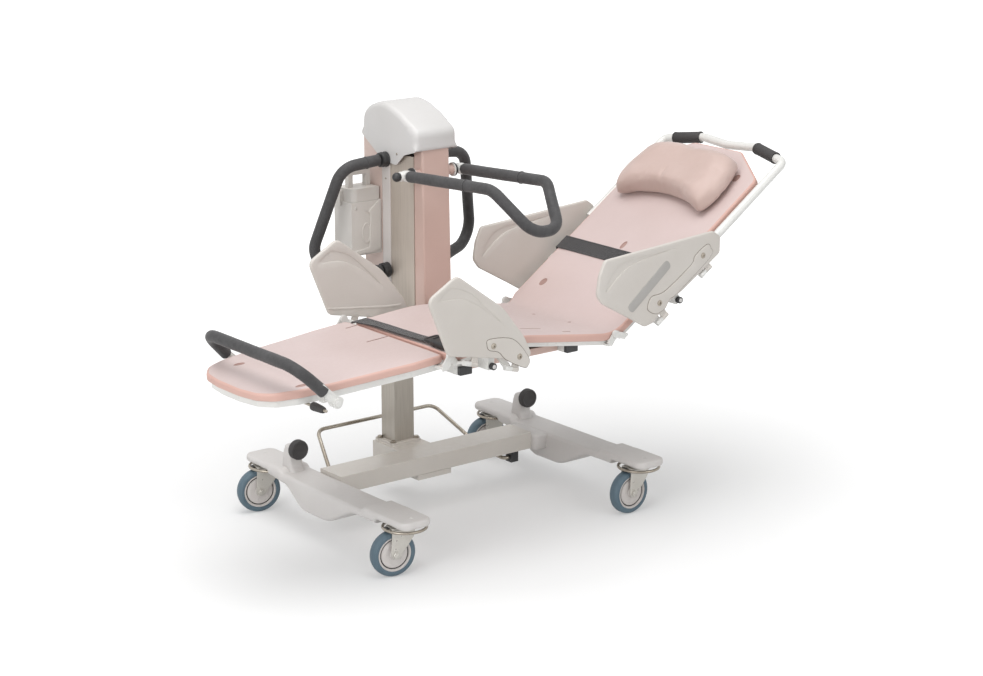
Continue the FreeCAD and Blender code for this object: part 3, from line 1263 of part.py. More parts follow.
def make_leg_frame():
    """Tray under the leg pad, with studs for the foot bar and lugs for the release bar."""
    tray = new_body("leg_frame", LEG_PLACE)
    top = -size.pad_thick - size.tray_gap
    pad(tray, "XY_Plane", leg_plan(size.tray_inset), top - size.leg_tray_drop, top)
    dress(tray, "Fillet", lambda edge: along(Z_AXIS)(edge) and
          edge.BoundBox.XMin < -float(size.leg_pad_reach) / 2, size.leg_foot_corner / 5)
    hollow = leg_plan(size.tray_inset + size.leg_tray_lip)
    cut(tray, "XY_Plane", hollow, top - size.leg_tray_drop, top - size.leg_tray_lip)
    stud = (-FOOT_PIVOT_U, -size.foot_pivot_w, size.foot_stud_radius)
    for side in (-1, 1):
        stub = [size.foot_stud_root * side, (size.foot_eye_v + size.foot_eye_thick + size.foot_stud_gap) * side]
        stub.sort(key=float)
        pad(tray, "XZ_Plane", stud, stub[0], stub[1])
        outer = (size.foot_eye_v + size.foot_eye_thick + size.foot_stud_gap) * side
        head = [outer, outer + size.foot_stud_head * side]
        head.sort(key=float)
        pad(tray, "XZ_Plane", (stud[0], stud[1], size.foot_stud_head_radius), head[0], head[1])
        lug = [size.release_lug_v * side, (size.release_lug_v + size.release_lug_wide) * side]
        lug.sort(key=float)
        half = size.release_lug_half
        pad(tray, "XZ_Plane", rectangle(-RELEASE_U - half, -size.release_w - half, -RELEASE_U + half,
                                        top - size.leg_tray_lip), lug[0], lug[1])
        cut(tray, "XZ_Plane", (-RELEASE_U, -size.release_w, size.release_rod_radius + size.release_gap),
            lug[0], lug[1])
        box = [size.foot_stud_root * side, (size.leg_waist_half - size.tray_inset) * side]
        box.sort(key=float)
        pad(tray, "XZ_Plane", rectangle(-FOOT_PIVOT_U - size.release_lug_half, -size.foot_pivot_w -
                                        size.release_lug_half, -FOOT_PIVOT_U + size.release_lug_half,
                                        top - size.leg_tray_lip), box[0], box[1])
        plate = FOLD_PLATE_V + size.fold_plate_thick + size.fold_plate_gap
        span = [plate * side, (plate + size.fold_plate_thick) * side]
        span.sort(key=float)
        radius = size.fold_plate_radius
        arm = [(-radius * 0.7, radius * 0.7), (-size.fold_reach - radius * 0.7, -size.fold_drop + radius * 0.7),
               (-size.fold_reach - radius * 0.7, -size.fold_drop - radius * 0.7),
               (-size.fold_reach + radius * 0.7, -size.fold_drop - radius * 0.7), (radius * 0.7, -radius * 0.7)]
        pad(tray, "XZ_Plane", arm, span[0], span[1])
        pad(tray, "XZ_Plane", (ZERO, ZERO, radius), span[0], span[1])
        cut(tray, "XZ_Plane", (ZERO, ZERO, size.fold_pin_radius + size.pin_clearance), span[0], span[1])
        foot = [size.foot_stud_root * side, (plate + size.fold_plate_thick) * side]
        foot.sort(key=float)
        pad(tray, "XZ_Plane", rectangle(-size.fold_reach - size.fold_foot_half, -size.fold_drop - size.tray_thick / 4,
                                        -size.fold_reach + size.fold_foot_half, -size.fold_drop + size.tray_thick / 4),
            foot[0], foot[1])
    return tray


def make_release_bar():
    """Rod across under the foot end, with a grip on each end, that frees the leg section."""
    bar = new_body("release_bar", LEG_PLACE)
    spot = (-RELEASE_U, -size.release_w)
    half = size.release_half
    pad(bar, "XZ_Plane", (spot[0], spot[1], size.release_rod_radius), -half, half)
    grip = half - size.release_rod_radius
    pad(bar, "XZ_Plane", (spot[0], spot[1], size.release_grip_radius), grip - size.release_grip_long, grip)
    pad(bar, "XZ_Plane", (spot[0], spot[1], size.release_grip_radius), -grip, -grip + size.release_grip_long)
    cam = rectangle(spot[0], spot[1] - size.release_cam_thick / 2, spot[0] + size.release_cam_reach,
                    spot[1] + size.release_cam_thick / 2)
    pad(bar, "XZ_Plane", cam, -size.release_cam_half, size.release_cam_half)
    return bar


def foot_bar_corners():
    right = [point(-FOOT_PIVOT_U, size.foot_arm_v, -size.foot_pivot_w),
             point(-FOOT_TOP_U, size.foot_top_v, size.foot_top_w)]
    return right + mirrored_y(right)[::-1]


def make_foot_bar():
    """Foam-covered bar over the foot end, turning on an eye at each end."""
    corners = foot_bar_corners()
    tube = rod(corners, size.foot_bend, size.foot_tube_radius)
    eyes, bores = [], []
    for side in (-1, 1):
        low = float(size.foot_eye_v) if side > 0 else -float(size.foot_eye_v + size.foot_eye_thick)
        base = Vector(-float(FOOT_PIVOT_U), low, -float(size.foot_pivot_w))
        eyes.append(Part.makeCylinder(float(size.foot_eye_radius), float(size.foot_eye_thick), base, Y_AXIS))
        start = Vector(base.x, float(side * (size.foot_eye_v - size.foot_eye_thick * 2)), base.z)
        bores.append(Part.makeCylinder(float(size.foot_stud_radius + size.foot_stud_gap),
                                       float(size.foot_eye_thick * 5), start, Vector(0, side, 0)))
    bar = tube.multiFuse(eyes)
    for bore in bores:
        bar = bar.cut(bore)
    plain_feature("foot_bar", bar, LEG_PLACE)
    foam = trimmed(corners, size.foot_foam_start, size.foot_foam_start)
    grip = sleeve_tube(foam, size.foot_bend, size.foot_foam_radius, size.foot_tube_radius + size.foam_clearance)
    plain_feature("foot_bar_foam", grip, LEG_PLACE)


# Back section: own axes with the origin on the pad's top at the hip, X along the slope.

BACK_PLACE = Placement(point(size.hip_x, BED_Y, size.hip_z), Rotation(Y_AXIS, -SIZES["back_tilt"]))


def back_plan(inset):
    half = size.pad_half - inset
    start = size.fold_gap / 2 + inset
    shoulder = size.back_long - size.back_chamfer_long
    end = size.back_long - inset
    return [(start, -half), (shoulder, -half), (end, -size.back_chamfer_half), (end, size.back_chamfer_half),
            (shoulder, half), (start, half)]


def make_back_pad():
    cushion = new_body("back_pad", BACK_PLACE)
    pad(cushion, "XY_Plane", back_plan(ZERO), -size.pad_thick, ZERO)
    dress(cushion, "Fillet", lambda edge: along(Z_AXIS)(edge) and edge.BoundBox.XMin > float(size.back_long) / 2,
          size.back_corner)
    dress(cushion, "Fillet", lambda edge: at_level(2, ZERO)(edge) and edge.BoundBox.XMax > float(size.fold_gap),
          size.pad_round)
    drains = [(size.back_long * 0.13, size.pad_half * 0.7, size.drain_radius),
              (size.back_long * 0.86, -size.pad_half * 0.7, size.drain_radius)]
    cut(cushion, "XY_Plane", drains, -size.drain_deep, ZERO)
    return cushion


def back_axis_start(side):
    return point(ZERO, PANEL_MIDDLE_V * side, -size.back_panel_axis_w)


def make_back_frame():
    """Tray under the back pad, with lugs for the head handle and hangers for the side panels."""
    top = -size.pad_thick - size.tray_gap
    plan = back_plan(size.tray_inset)
    corners = [point(x, y, top - size.tray_thick) for x, y in plan]
    tray = Part.Face(Part.makePolygon(corners + corners[:1])).extrude(point(ZERO, ZERO, size.tray_thick))
    pieces = []
    edge = float(size.pad_half - size.tray_inset)
    low = float(top - size.tray_thick)
    tube_face = float(HEAD_TUBE_V - size.head_tube_radius - size.lug_gap)
    for side in (-1, 1):
        for along_u in (size.head_lug_low_u, HEAD_LUG_HIGH_U):
            pieces.append(Part.makeBox(float(size.head_lug_wide), tube_face - edge + float(size.tray_thick),
                                       float(size.tray_thick), Vector(float(along_u), min(side * tube_face,
                                       side * (edge - float(size.tray_thick))), low)))
        start = back_axis_start(side)
        for first in (size.back_knuckle_first, size.back_knuckle_second):
            spot = start + X_AXIS * float(first)
            pieces.append(back_hanger(spot, side * edge, float(top), side))
            pieces.append(round_bar(spot, X_AXIS, size.knuckle_radius, size.knuckle_long))
            pieces.append(round_bar(spot + X_AXIS * float(size.knuckle_long), X_AXIS, size.pin_radius,
                                    size.knuckle_long))
        pieces.append(back_knob_block(side, side * edge, float(top)))
        shift = size.fold_plate_thick + size.fold_plate_gap
        pieces.extend(fold_plate(ORIGIN, 1, side, shift, False))
    return plain_feature("back_frame", tray.multiFuse(pieces), BACK_PLACE)


def back_hanger(spot, edge_v, top_w, side):
    thick = float(size.tray_thick)
    outer = spot.y - side * float(size.knuckle_radius) / 2
    inner = edge_v - side * thick
    corners = [Vector(spot.x, inner, top_w), Vector(spot.x, outer, spot.z + float(size.pin_radius)),
               Vector(spot.x, outer, spot.z - float(size.pin_radius)), Vector(spot.x, inner, top_w - thick)]
    face = Part.Face(Part.makePolygon(corners + corners[:1]))
    return face.extrude(X_AXIS * float(size.knuckle_long))


def back_knob_block(side, edge_v, top_w):
    half = float(size.knob_block_half)
    u, w = float(size.back_knob_u), -float(size.back_panel_axis_w)
    face_v = side * float(PANEL_INNER_V - size.knob_gap)
    inner = edge_v - side * float(size.tray_thick)
    low_v, high_v = min(face_v, inner), max(face_v, inner)
    block = Part.makeBox(2 * half, high_v - low_v, top_w - w + half, Vector(u - half, low_v, w - half))
    bore = round_bar(Vector(u, face_v, w), Vector(0, -side, 0), size.knob_stem_radius + size.pin_clearance,
                     size.knob_block_deep)
    return block.cut(bore)


def head_handle_corners():
    tube_w = -size.head_tube_w
    right = [point(size.head_tube_start, HEAD_TUBE_V, tube_w), point(HEAD_CORNER_U, HEAD_TUBE_V, tube_w),
             point(HEAD_PEAK_U, size.head_peak_v, tube_w)]
    return right + [point(HEAD_DIP_U, ZERO, tube_w)] + mirrored_y(right)[::-1]


def make_head_handle():
    """Tube round the head end, with a black grip on each slanting stretch."""
    corners = head_handle_corners()
    bend = size.head_bend
    tube = rod_with_bends(corners, [bend / 2, bend, bend, bend, bend / 2], size.head_tube_radius)
    plain_feature("head_handle", tube, BACK_PLACE)
    grips = []
    for side in (-1, 1):
        outer = point(HEAD_CORNER_U, HEAD_TUBE_V * side, -size.head_tube_w)
        inner = point(HEAD_PEAK_U, size.head_peak_v * side, -size.head_tube_w)
        direction = (inner - outer).normalize()
        start = outer + direction * float(size.head_grip_from)
        sleeve = round_bar(start, direction, size.head_grip_radius, size.head_grip_long)
        grips.append(sleeve.cut(round_bar(start, direction, size.head_tube_radius + size.foam_clearance,
                                          size.head_grip_long)))
    plain_feature("head_grips", Part.makeCompound(grips), BACK_PLACE)


def make_chest_strap():
    """Flat strap across the back pad."""
    strap = new_body("chest_strap", BACK_PLACE)
    half = size.strap_wide / 2
    reach = size.pad_half - size.strap_inset
    pad(strap, "XY_Plane", rectangle(size.chest_strap_u - half, -reach, size.chest_strap_u + half, reach),
        size.strap_gap, size.strap_gap + size.strap_thick)
    return strap


def make_pillow():
    """Crowned head cushion, drawn in at its middle, as a loft through lens-shaped sections."""
    base = float(size.pillow_gap)
    half_wide = float(size.pillow_wide) / 2
    shift = float(size.pillow_shift)
    sections = []
    for across_share, long_share, high_share in ((-1.0, 0.68, 0.45), (-0.8, 0.98, 0.86), (-0.4, 0.96, 0.98),
                                                 (0.0, 0.86, 0.84), (0.4, 0.96, 0.98), (0.8, 0.98, 0.86),
                                                 (1.0, 0.68, 0.45)):
        v = shift + across_share * half_wide
        reach = float(size.pillow_long) / 2 * long_share
        middle = float(size.pillow_low) + float(size.pillow_long) / 2
        crown = base + float(size.pillow_high) * high_share
        waist = base + float(size.pillow_high) * 0.3 * high_share
        low_start, low_end = Vector(middle - reach * 0.8, v, base), Vector(middle + reach * 0.8, v, base)
        side_start, side_end = Vector(middle - reach, v, waist), Vector(middle + reach, v, waist)
        lift = waist * 0.35
        edges = [Part.LineSegment(low_start, low_end).toShape(),
                 Part.Arc(low_end, Vector(middle + reach * 0.94, v, base + lift), side_end).toShape(),
                 Part.Arc(side_end, Vector(middle, v, crown), side_start).toShape(),
                 Part.Arc(side_start, Vector(middle - reach * 0.94, v, base + lift), low_start).toShape()]
        sections.append(Part.Wire(edges))
    return plain_feature("pillow", Part.makeLoft(sections, True, False), BACK_PLACE)


# Side panels and their locking plungers.

def panel_solid(outline, side, groove):
    """A rounded plate in the XZ plane, with a shallow groove in its outer face."""
    v_low = PANEL_INNER_V if side > 0 else -PANEL_INNER_V - size.panel_thick
    corners = [point(x, v_low, z) for x, z in outline]
    plate = Part.Face(Part.makePolygon(corners + corners[:1])).extrude(point(ZERO, size.panel_thick, ZERO))
    edges = [edge for edge in plate.Edges if edge.BoundBox.YLength > float(size.panel_thick) / 2]
    plate = plate.makeFillet(float(size.panel_corner), edges)
    rim = [edge for edge in plate.Edges if edge.BoundBox.YLength < float(size.panel_thick) / 2]
    plate = plate.makeFillet(float(size.panel_round), rim)
    outer = v_low + size.panel_thick - size.groove_deep if side > 0 else v_low
    ring = [point(x, outer, z) for x, z in groove]
    well = Part.Face(Part.makePolygon(ring + ring[:1])).extrude(point(ZERO, size.groove_deep, ZERO))
    return plate.cut(well)


def panel_knuckle(spot, direction, up, high):
    """Barrel between the frame's knuckles, with a web up into the panel."""
    gap = float(size.knuckle_gap)
    start = spot + direction * (float(size.knuckle_long) + gap)
    length = float(size.knuckle_long) - gap
    barrel = round_bar(start, direction, size.knuckle_radius, length)
    half = float(size.panel_thick) / 2 - float(size.panel_round)
    corners = [start + Vector(0, -half, 0), start + Vector(0, half, 0),
               start + Vector(0, half, 0) + up * high, start + Vector(0, -half, 0) + up * high]
    web = Part.Face(Part.makePolygon(corners + corners[:1])).extrude(direction * length)
    bore = round_bar(start, direction, size.pin_radius + size.pin_clearance, length)
    return barrel.fuse(web).cut(bore)


def make_panels():
    back_outline = shared_outline(BACK_PANEL_SHARES, -size.back_panel_u, -size.back_panel_w,
                                  size.back_panel_long, size.back_panel_tall)
    back_groove = shared_outline(BACK_GROOVE_SHARES, -size.back_panel_u, -size.back_panel_w,
                                 size.back_panel_long, size.back_panel_tall)
    seat_outline = shared_outline(SEAT_PANEL_SHARES, -size.seat_panel_x, size.seat_panel_z,
                                  size.seat_panel_long, size.seat_panel_tall)
    seat_groove = shared_outline(SEAT_GROOVE_SHARES, -size.seat_panel_x, size.seat_panel_z,
                                 size.seat_panel_long, size.seat_panel_tall)
    for side, word in ((-1, "near"), (1, "far")):
        plate = panel_solid(back_outline, side, back_groove)
        knuckles = []
        start = back_axis_start(side)
        for first in (size.back_knuckle_first, size.back_knuckle_second):
            knuckles.append(panel_knuckle(start + X_AXIS * float(first), X_AXIS, Z_AXIS,
                                          float(size.back_panel_axis_w - size.back_panel_w + size.knuckle_long)))
        plain_feature(f"back_panel_{word}", plate.multiFuse(knuckles).removeSplitter(), BACK_PLACE)
        plate = panel_solid(seat_outline, side, seat_groove)
        plate.translate(point(ZERO, BED_Y, ZERO))
        knuckles = []
        start = seat_axis_start(side)
        upright = Vector(-SEAT_AXIS_DIRECTION.z, 0, SEAT_AXIS_DIRECTION.x)
        for first in (size.seat_knuckle_first, size.seat_knuckle_second):
            knuckles.append(panel_knuckle(start + SEAT_AXIS_DIRECTION * float(first), SEAT_AXIS_DIRECTION, upright,
                                          float(size.knuckle_long * 2)))
        plain_feature(f"seat_panel_{word}", plate.multiFuse(knuckles).removeSplitter())


def plunger(spot, side, face):
    """Locking plunger: a stem in its block and a round head outside."""
    outward = Vector(0, side, 0)
    start = Vector(spot.x, face - side * float(size.knob_block_deep - size.knob_gap), spot.z)
    stem = round_bar(start, outward, size.knob_stem_radius, size.knob_block_deep)
    head = round_bar(Vector(spot.x, face + side * float(size.knob_gap), spot.z), outward, size.knob_radius,
                     size.knob_long)
    return stem.fuse(head).removeSplitter()


def make_knobs():
    for side, word in ((-1, "near"), (1, "far")):
        face = float(BED_Y) + side * float(PANEL_INNER_V - size.knob_gap)
        spot = seat_axis_start(side) + SEAT_AXIS_DIRECTION * float(size.seat_knob_along)
        plain_feature(f"seat_knob_{word}", plunger(spot, side, face))
        face = side * float(PANEL_INNER_V - size.knob_gap)
        spot = point(size.back_knob_u, ZERO, -size.back_panel_axis_w)
        plain_feature(f"back_knob_{word}", plunger(spot, side, face), BACK_PLACE)


# Build every sub-part, check it and write it out.

make_castors()
make_leg_covers()
make_buffers()
make_beam()
make_mast_foot()
make_mast_bolts()
make_mast()
make_jack_tube()
make_pedal_blocks()
make_pedal_bar()
make_sleeve()
make_lift_motor()
make_front_cover()
make_side_plates()
make_rear_cover()
make_head_cap()
make_battery_holder()
make_battery_pack()
make_battery_latch()
make_push_handles()
make_handle_cups()
make_grab_rail()
make_arm_frame()
make_arm_caps()
make_under_pan()
make_seat_pad()
make_seat_frame()
make_thigh_strap()
make_leg_pad()
make_leg_frame()
make_release_bar()
make_foot_bar()
make_back_pad()
make_back_frame()
make_head_handle()
make_chest_strap()
make_pillow()
make_panels()
make_knobs()
doc.recompute()

for item in doc.Objects:
    if "Invalid" in item.State or "Error" in item.State:
        raise RuntimeError(f"{item.Label} failed: {item.State}")

sub_parts = [item for item in doc.Objects if item.TypeId in ("PartDesign::Body", "Part::Feature")]
for item in sub_parts:
    if item.Shape.isNull() or not item.Shape.isValid():
        raise RuntimeError(f"{item.Label} has no valid shape")

outline = Part.makeCompound([item.Shape for item in sub_parts]).optimalBoundingBox(False, False)
centring = Placement(Vector(-(outline.XMin + outline.XMax) / 2, -(outline.YMin + outline.YMax) / 2, 0), Rotation())
for item in sub_parts:
    item.Placement = centring * item.Placement
doc.recompute()
for item in sub_parts:
    item.Shape.exportStep(f"parts/{item.Label}.step")
print("moved by", round(centring.Base.x, 4), round(centring.Base.y, 4))
print(len(sub_parts), "sub-parts written")
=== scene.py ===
import math
import bmesh
import bpy
from mathutils import Matrix, Vector, geometry, noise


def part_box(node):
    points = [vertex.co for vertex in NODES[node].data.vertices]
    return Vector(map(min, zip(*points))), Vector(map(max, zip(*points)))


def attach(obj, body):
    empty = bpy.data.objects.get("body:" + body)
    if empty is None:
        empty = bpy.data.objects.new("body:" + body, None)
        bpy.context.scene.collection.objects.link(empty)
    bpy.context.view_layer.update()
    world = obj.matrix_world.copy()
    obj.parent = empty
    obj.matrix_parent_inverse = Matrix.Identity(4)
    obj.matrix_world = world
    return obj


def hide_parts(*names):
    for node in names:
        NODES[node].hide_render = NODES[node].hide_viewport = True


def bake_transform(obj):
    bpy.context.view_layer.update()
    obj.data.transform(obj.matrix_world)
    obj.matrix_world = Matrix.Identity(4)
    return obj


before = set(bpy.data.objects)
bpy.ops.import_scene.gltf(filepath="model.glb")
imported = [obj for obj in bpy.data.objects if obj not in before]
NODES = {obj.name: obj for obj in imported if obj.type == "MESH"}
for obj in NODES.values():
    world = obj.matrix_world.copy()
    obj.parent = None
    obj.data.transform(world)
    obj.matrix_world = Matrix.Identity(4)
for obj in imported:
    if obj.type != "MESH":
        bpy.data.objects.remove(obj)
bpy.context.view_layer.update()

# Places. Lengths below are millimetres in the trolley's layout: X to the head end, Y to the column, Z up.
MM = 0.001
mast_low, mast_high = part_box("mast")
MAST_Y = 189
SHIFT = Vector(((mast_low.x + mast_high.x) / 2, mast_low.y - MAST_Y * MM, 0))
WORLD = Matrix.Translation(SHIFT) @ Matrix.Scale(MM, 4)
BED_Y = -200
KNEE = Vector((-306, BED_Y, 604))
HIP = Vector((250, BED_Y, 570))
LEG_TILT, BACK_TILT = math.radians(4), math.radians(34.8)
LEG = WORLD @ Matrix.Translation(KNEE) @ Matrix.Rotation(-LEG_TILT, 4, "Y")
BACK = WORLD @ Matrix.Translation(HIP) @ Matrix.Rotation(-BACK_TILT, 4, "Y")
X_AXIS, Y_AXIS, Z_AXIS = (1, 0, 0), (0, 1, 0), (0, 0, 1)
FOOT_X, HEAD_X, CASTOR_Y = -371, 443, 323
CASTORS = [("near_head", HEAD_X, -CASTOR_Y, 0), ("near_foot", FOOT_X, -CASTOR_Y, -10),
           ("far_foot", FOOT_X, CASTOR_Y, -13), ("far_head", HEAD_X, CASTOR_Y, -12)]
AXLE_X, AXLE_Z = -36, 62.5
SEAT_HINGE_X, SEAT_HINGE_Z, SEAT_HINGE_TILT = -336, 602, math.radians(15)
BACK_HINGE_W = -58
SEAT_KNOB_ALONG, BACK_KNOB_U, KNOB_FACE = 150, 205, 259.6
NEAR_PANEL_FACE, FAR_PANEL_FACE, KNUCKLE_Y = -272, 260, 266
HANDLE_Y, HANDLE_TOP, HANDLE_LOW = 163, 995, 683
RAIL_X, RAIL_Y, RAIL_Z = 92, 45, 968
RELEASE_U, RELEASE_W = -391, -44
LEG_END, CAP_HALF = 385, 71
FOAM_RADIUS, GRIP_RADIUS = 15.5, 16
BELT_THICK, WELD = 2.4, 0.00001


# Materials, by name.

M = {}


def srgb(red, green, blue):
    channels = []
    for value in (red, green, blue):
        value /= 255
        channels.append(value / 12.92 if value <= 0.04045 else ((value + 0.055) / 1.055) ** 2.4)
    return (*channels, 1.0)


class Nodes:
    """A node tree under construction."""

    def __init__(self, tree):
        self.tree = tree

    def add(self, kind, inputs=None, **settings):
        node = self.tree.nodes.new(kind)
        for key, value in settings.items():
            setattr(node, key, value)
        for key, value in (inputs or {}).items():
            if isinstance(value, bpy.types.NodeSocket):
                self.tree.links.new(value, node.inputs[key])
            else:
                node.inputs[key].default_value = value
        return node

    def eye(self):
        """1 for rays that reach the eye straight, by a gloss or through a surface."""
        path = self.add("ShaderNodeLightPath").outputs
        seen = path["Is Camera Ray"]
        for kind in ("Is Glossy Ray", "Is Transmission Ray"):
            seen = self.add("ShaderNodeMath", {0: seen, 1: path[kind]}, operation="MAXIMUM").outputs[0]
        return seen


class Shade(Nodes):
    """A material under construction, with the piece's own coordinates in metres."""

    def __init__(self, name):
        self.name = name
        self.material = bpy.data.materials.new(name)
        self.material.use_nodes = True
        super().__init__(self.material.node_tree)
        self.surface = self.tree.nodes["Principled BSDF"]
        self.coords = self.add("ShaderNodeTexCoord").outputs["Object"]

    def settle(self, **values):
        """Set plain values of the surface, by the input's name in lower case, and keep the material."""
        for key, value in values.items():
            self.surface.inputs[key.replace("_", " ").title()].default_value = value
        M[self.name] = self.material

    def link(self, output, key):
        self.tree.links.new(output, self.surface.inputs[key])

    def noise(self, scale, detail=3.0, stretch=(1, 1, 1)):
        coords = self.coords
        if stretch != (1, 1, 1):
            coords = self.add("ShaderNodeMapping", {"Vector": coords, "Scale": stretch}).outputs["Vector"]
        return self.add("ShaderNodeTexNoise", {"Vector": coords, "Scale": scale, "Detail": detail}).outputs["Fac"]

    def cells(self, scale):
        return self.add("ShaderNodeTexVoronoi", {"Vector": self.coords, "Scale": scale}).outputs["Distance"]

    def remap(self, value, low, high, start, end):
        return self.add("ShaderNodeMapRange", {"Value": value, "From Min": start, "From Max": end,
                                               "To Min": low, "To Max": high}).outputs["Result"]

    def times(self, a, b):
        return self.add("ShaderNodeMath", {0: a, 1: b}, operation="MULTIPLY").outputs[0]

    def blend(self, share, a, b):
        return self.add("ShaderNodeMix", {0: share, 6: a, 7: b}, data_type="RGBA").outputs[2]

    def bump(self, height, distance, strength, normal=None):
        inputs = {"Height": height, "Distance": distance, "Strength": strength}
        if normal is not None:
            inputs["Normal"] = normal
        return self.add("ShaderNodeBump", inputs).outputs["Normal"]

    def edge_wear(self, radius):
        """1 near convex and concave edges, 0 on open faces."""
        soft = self.add("ShaderNodeBevel", {"Radius": radius}, samples=4).outputs["Normal"]
        flat = self.add("ShaderNodeNewGeometry").outputs["Normal"]
        match = self.add("ShaderNodeVectorMath", {0: soft, 1: flat}, operation="DOT_PRODUCT").outputs["Value"]
        return self.remap(match, 1.0, 0.0, 0.80, 0.995)


def coat(name, light, dark, rough, spread, grain, grain_depth, swell, swell_depth,
         stretch=(1, 1, 1), metal=0.0, sheen=0.0, clear=0.0, wear=None, mottle=0.10):
    """A moulded, painted or metal surface: broad tone, fine grain, uneven gloss and worn edges."""
    shade = Shade(name)
    tone = shade.remap(shade.noise(swell * 0.45, 4.0), 0.0, 1.0, 0.32, 0.68)
    colour = shade.blend(tone, srgb(*light), srgb(*dark))
    fine = shade.noise(grain, 2.0, stretch)
    speck = shade.times(shade.remap(fine, 0.0, 1.0, 0.45, 0.75), mottle)
    colour = shade.blend(speck, colour, srgb(*[value * 0.82 for value in dark]))
    if wear:
        share = shade.times(shade.edge_wear(0.0016), shade.remap(shade.noise(160, 3.0), 0.05, 0.5, 0.35, 0.65))
        colour = shade.blend(share, colour, srgb(*wear))
    shade.link(colour, "Base Color")
    patch = shade.noise(grain * 0.06 + 20, 3.0, stretch)
    shade.link(shade.remap(patch, rough - spread, rough + spread, 0.3, 0.7), "Roughness")
    normal = shade.bump(fine, grain_depth, 0.6)
    normal = shade.bump(shade.noise(swell, 2.0), swell_depth, 0.35, normal)
    shade.link(normal, "Normal")
    shade.settle(metallic=metal, sheen_weight=sheen, sheen_roughness=0.5, coat_weight=clear, coat_roughness=0.2)


def foam_skin(name, light, dark):
    """Closed-cell foam: small open cells under a dull skin."""
    shade = Shade(name)
    cell = shade.cells(620)
    tone = shade.remap(shade.noise(22, 4.0), 0.0, 1.0, 0.35, 0.65)
    colour = shade.blend(tone, srgb(*light), srgb(*dark))
    colour = shade.blend(shade.times(shade.remap(cell, 1.0, 0.0, 0.05, 0.4), 0.35), colour,
                         srgb(*[value * 0.55 for value in dark]))
    shade.link(colour, "Base Color")
    shade.link(shade.remap(shade.noise(90, 2.0), 0.58, 0.76, 0.3, 0.7), "Roughness")
    normal = shade.bump(cell, 0.00022, 0.5)
    normal = shade.bump(shade.noise(48, 3.0), 0.0005, 0.35, normal)
    shade.link(normal, "Normal")
    shade.settle(sheen_weight=0.15)


def woven(name, light, dark, across, along):
    """Flat webbing: ribs across the strap, with a fine warp along it."""
    shade = Shade(name)
    waves = []
    for direction, scale in ((across, 230.0), (along, 380.0)):
        wave = shade.add("ShaderNodeTexWave", {"Vector": shade.coords, "Scale": scale, "Distortion": 0.4,
                                               "Detail": 1.0, "Detail Scale": 2.0},
                         wave_type="BANDS", bands_direction=direction)
        waves.append(wave.outputs["Fac"])
    weave = shade.add("ShaderNodeMath", {0: waves[0], 1: waves[1]}, operation="ADD").outputs[0]
    weave = shade.times(weave, 0.5)
    colour = shade.blend(weave, srgb(*dark), srgb(*light))
    colour = shade.blend(shade.times(shade.noise(60, 4.0), 0.2), colour, srgb(*[v * 1.2 for v in light]))
    shade.link(colour, "Base Color")
    shade.link(shade.remap(shade.noise(140, 2.0), 0.6, 0.85, 0.3, 0.7), "Roughness")
    shade.link(shade.bump(weave, 0.0004, 0.8), "Normal")
    shade.settle(sheen_weight=0.3)


# Painted sheen: the mats' top material is the same pink as their side material, paled to stand in for the white
# reflection on the tops.
coat("skin", (209, 190, 187), (203, 183, 179), 0.5, 0.07, 1300, 0.00006, 10, 0.0008, sheen=0.25)
coat("skin_side_without_painted_sheen", (212, 174, 163), (205, 165, 153), 0.52, 0.07, 1300, 0.00006, 10, 0.0005)
# Painted shade: the same pink skin, darkened for the walls and floors of the mats' sunk wells.
coat("skin_recess_painted_shade", (176, 146, 138), (164, 133, 125), 0.6, 0.06, 1300, 0.00006, 10, 0.0003)
coat("pillow", (198, 174, 166), (190, 165, 156), 0.52, 0.08, 1100, 0.00008, 16, 0.0009, sheen=0.3)
coat("pink_shell", (206, 178, 168), (199, 169, 158), 0.34, 0.06, 1500, 0.00003, 6, 0.0003, wear=(226, 200, 190))
coat("pale_pink", (206, 186, 178), (198, 177, 168), 0.4, 0.06, 1500, 0.00003, 6, 0.0003, wear=(220, 206, 200))
coat("cap", (208, 206, 205), (201, 199, 197), 0.42, 0.07, 1400, 0.00005, 8, 0.0004, wear=(236, 234, 232))
coat("ivory", (211, 206, 203), (203, 197, 193), 0.42, 0.07, 1400, 0.00005, 8, 0.0004, wear=(224, 221, 218))
coat("panel", (210, 205, 199), (202, 196, 189), 0.45, 0.07, 1200, 0.00006, 9, 0.0005, wear=(222, 219, 214))
coat("leg_shell", (213, 210, 208), (205, 201, 198), 0.5, 0.08, 1000, 0.00008, 7, 0.0005, wear=(216, 213, 211))
coat("beam", (212, 207, 200), (204, 198, 190), 0.4, 0.08, 700, 0.00004, 9, 0.0004, clear=0.15, wear=(208, 204, 198))
coat("white_paint", (226, 226, 223), (218, 217, 213), 0.32, 0.07, 650, 0.00004, 12, 0.0003, clear=0.3,
     wear=(234, 234, 232))
coat("battery", (214, 210, 205), (205, 200, 194), 0.44, 0.07, 1300, 0.00006, 9, 0.0004, wear=(224, 221, 217))
coat("brushed", (182, 176, 167), (167, 160, 150), 0.36, 0.08, 420, 0.00003, 5, 0.0002, stretch=(1, 1, 0.02),
     metal=0.55, mottle=0.4)
coat("sleeve", (186, 176, 165), (172, 161, 150), 0.42, 0.07, 420, 0.00003, 5, 0.0002, stretch=(1, 1, 0.02),
     metal=0.35, mottle=0.3)
coat("wire", (172, 165, 154), (150, 141, 129), 0.3, 0.08, 380, 0.00003, 30, 0.0001, metal=0.9, mottle=0.3,
     wear=(186, 178, 166))
coat("zinc", (205, 202, 196), (188, 184, 176), 0.34, 0.08, 500, 0.00004, 26, 0.0002, metal=0.5, mottle=0.25,
     wear=(224, 222, 218))
coat("black_plastic", (46, 46, 47), (38, 38, 39), 0.42, 0.09, 1300, 0.00008, 20, 0.0003, wear=(74, 74, 75))
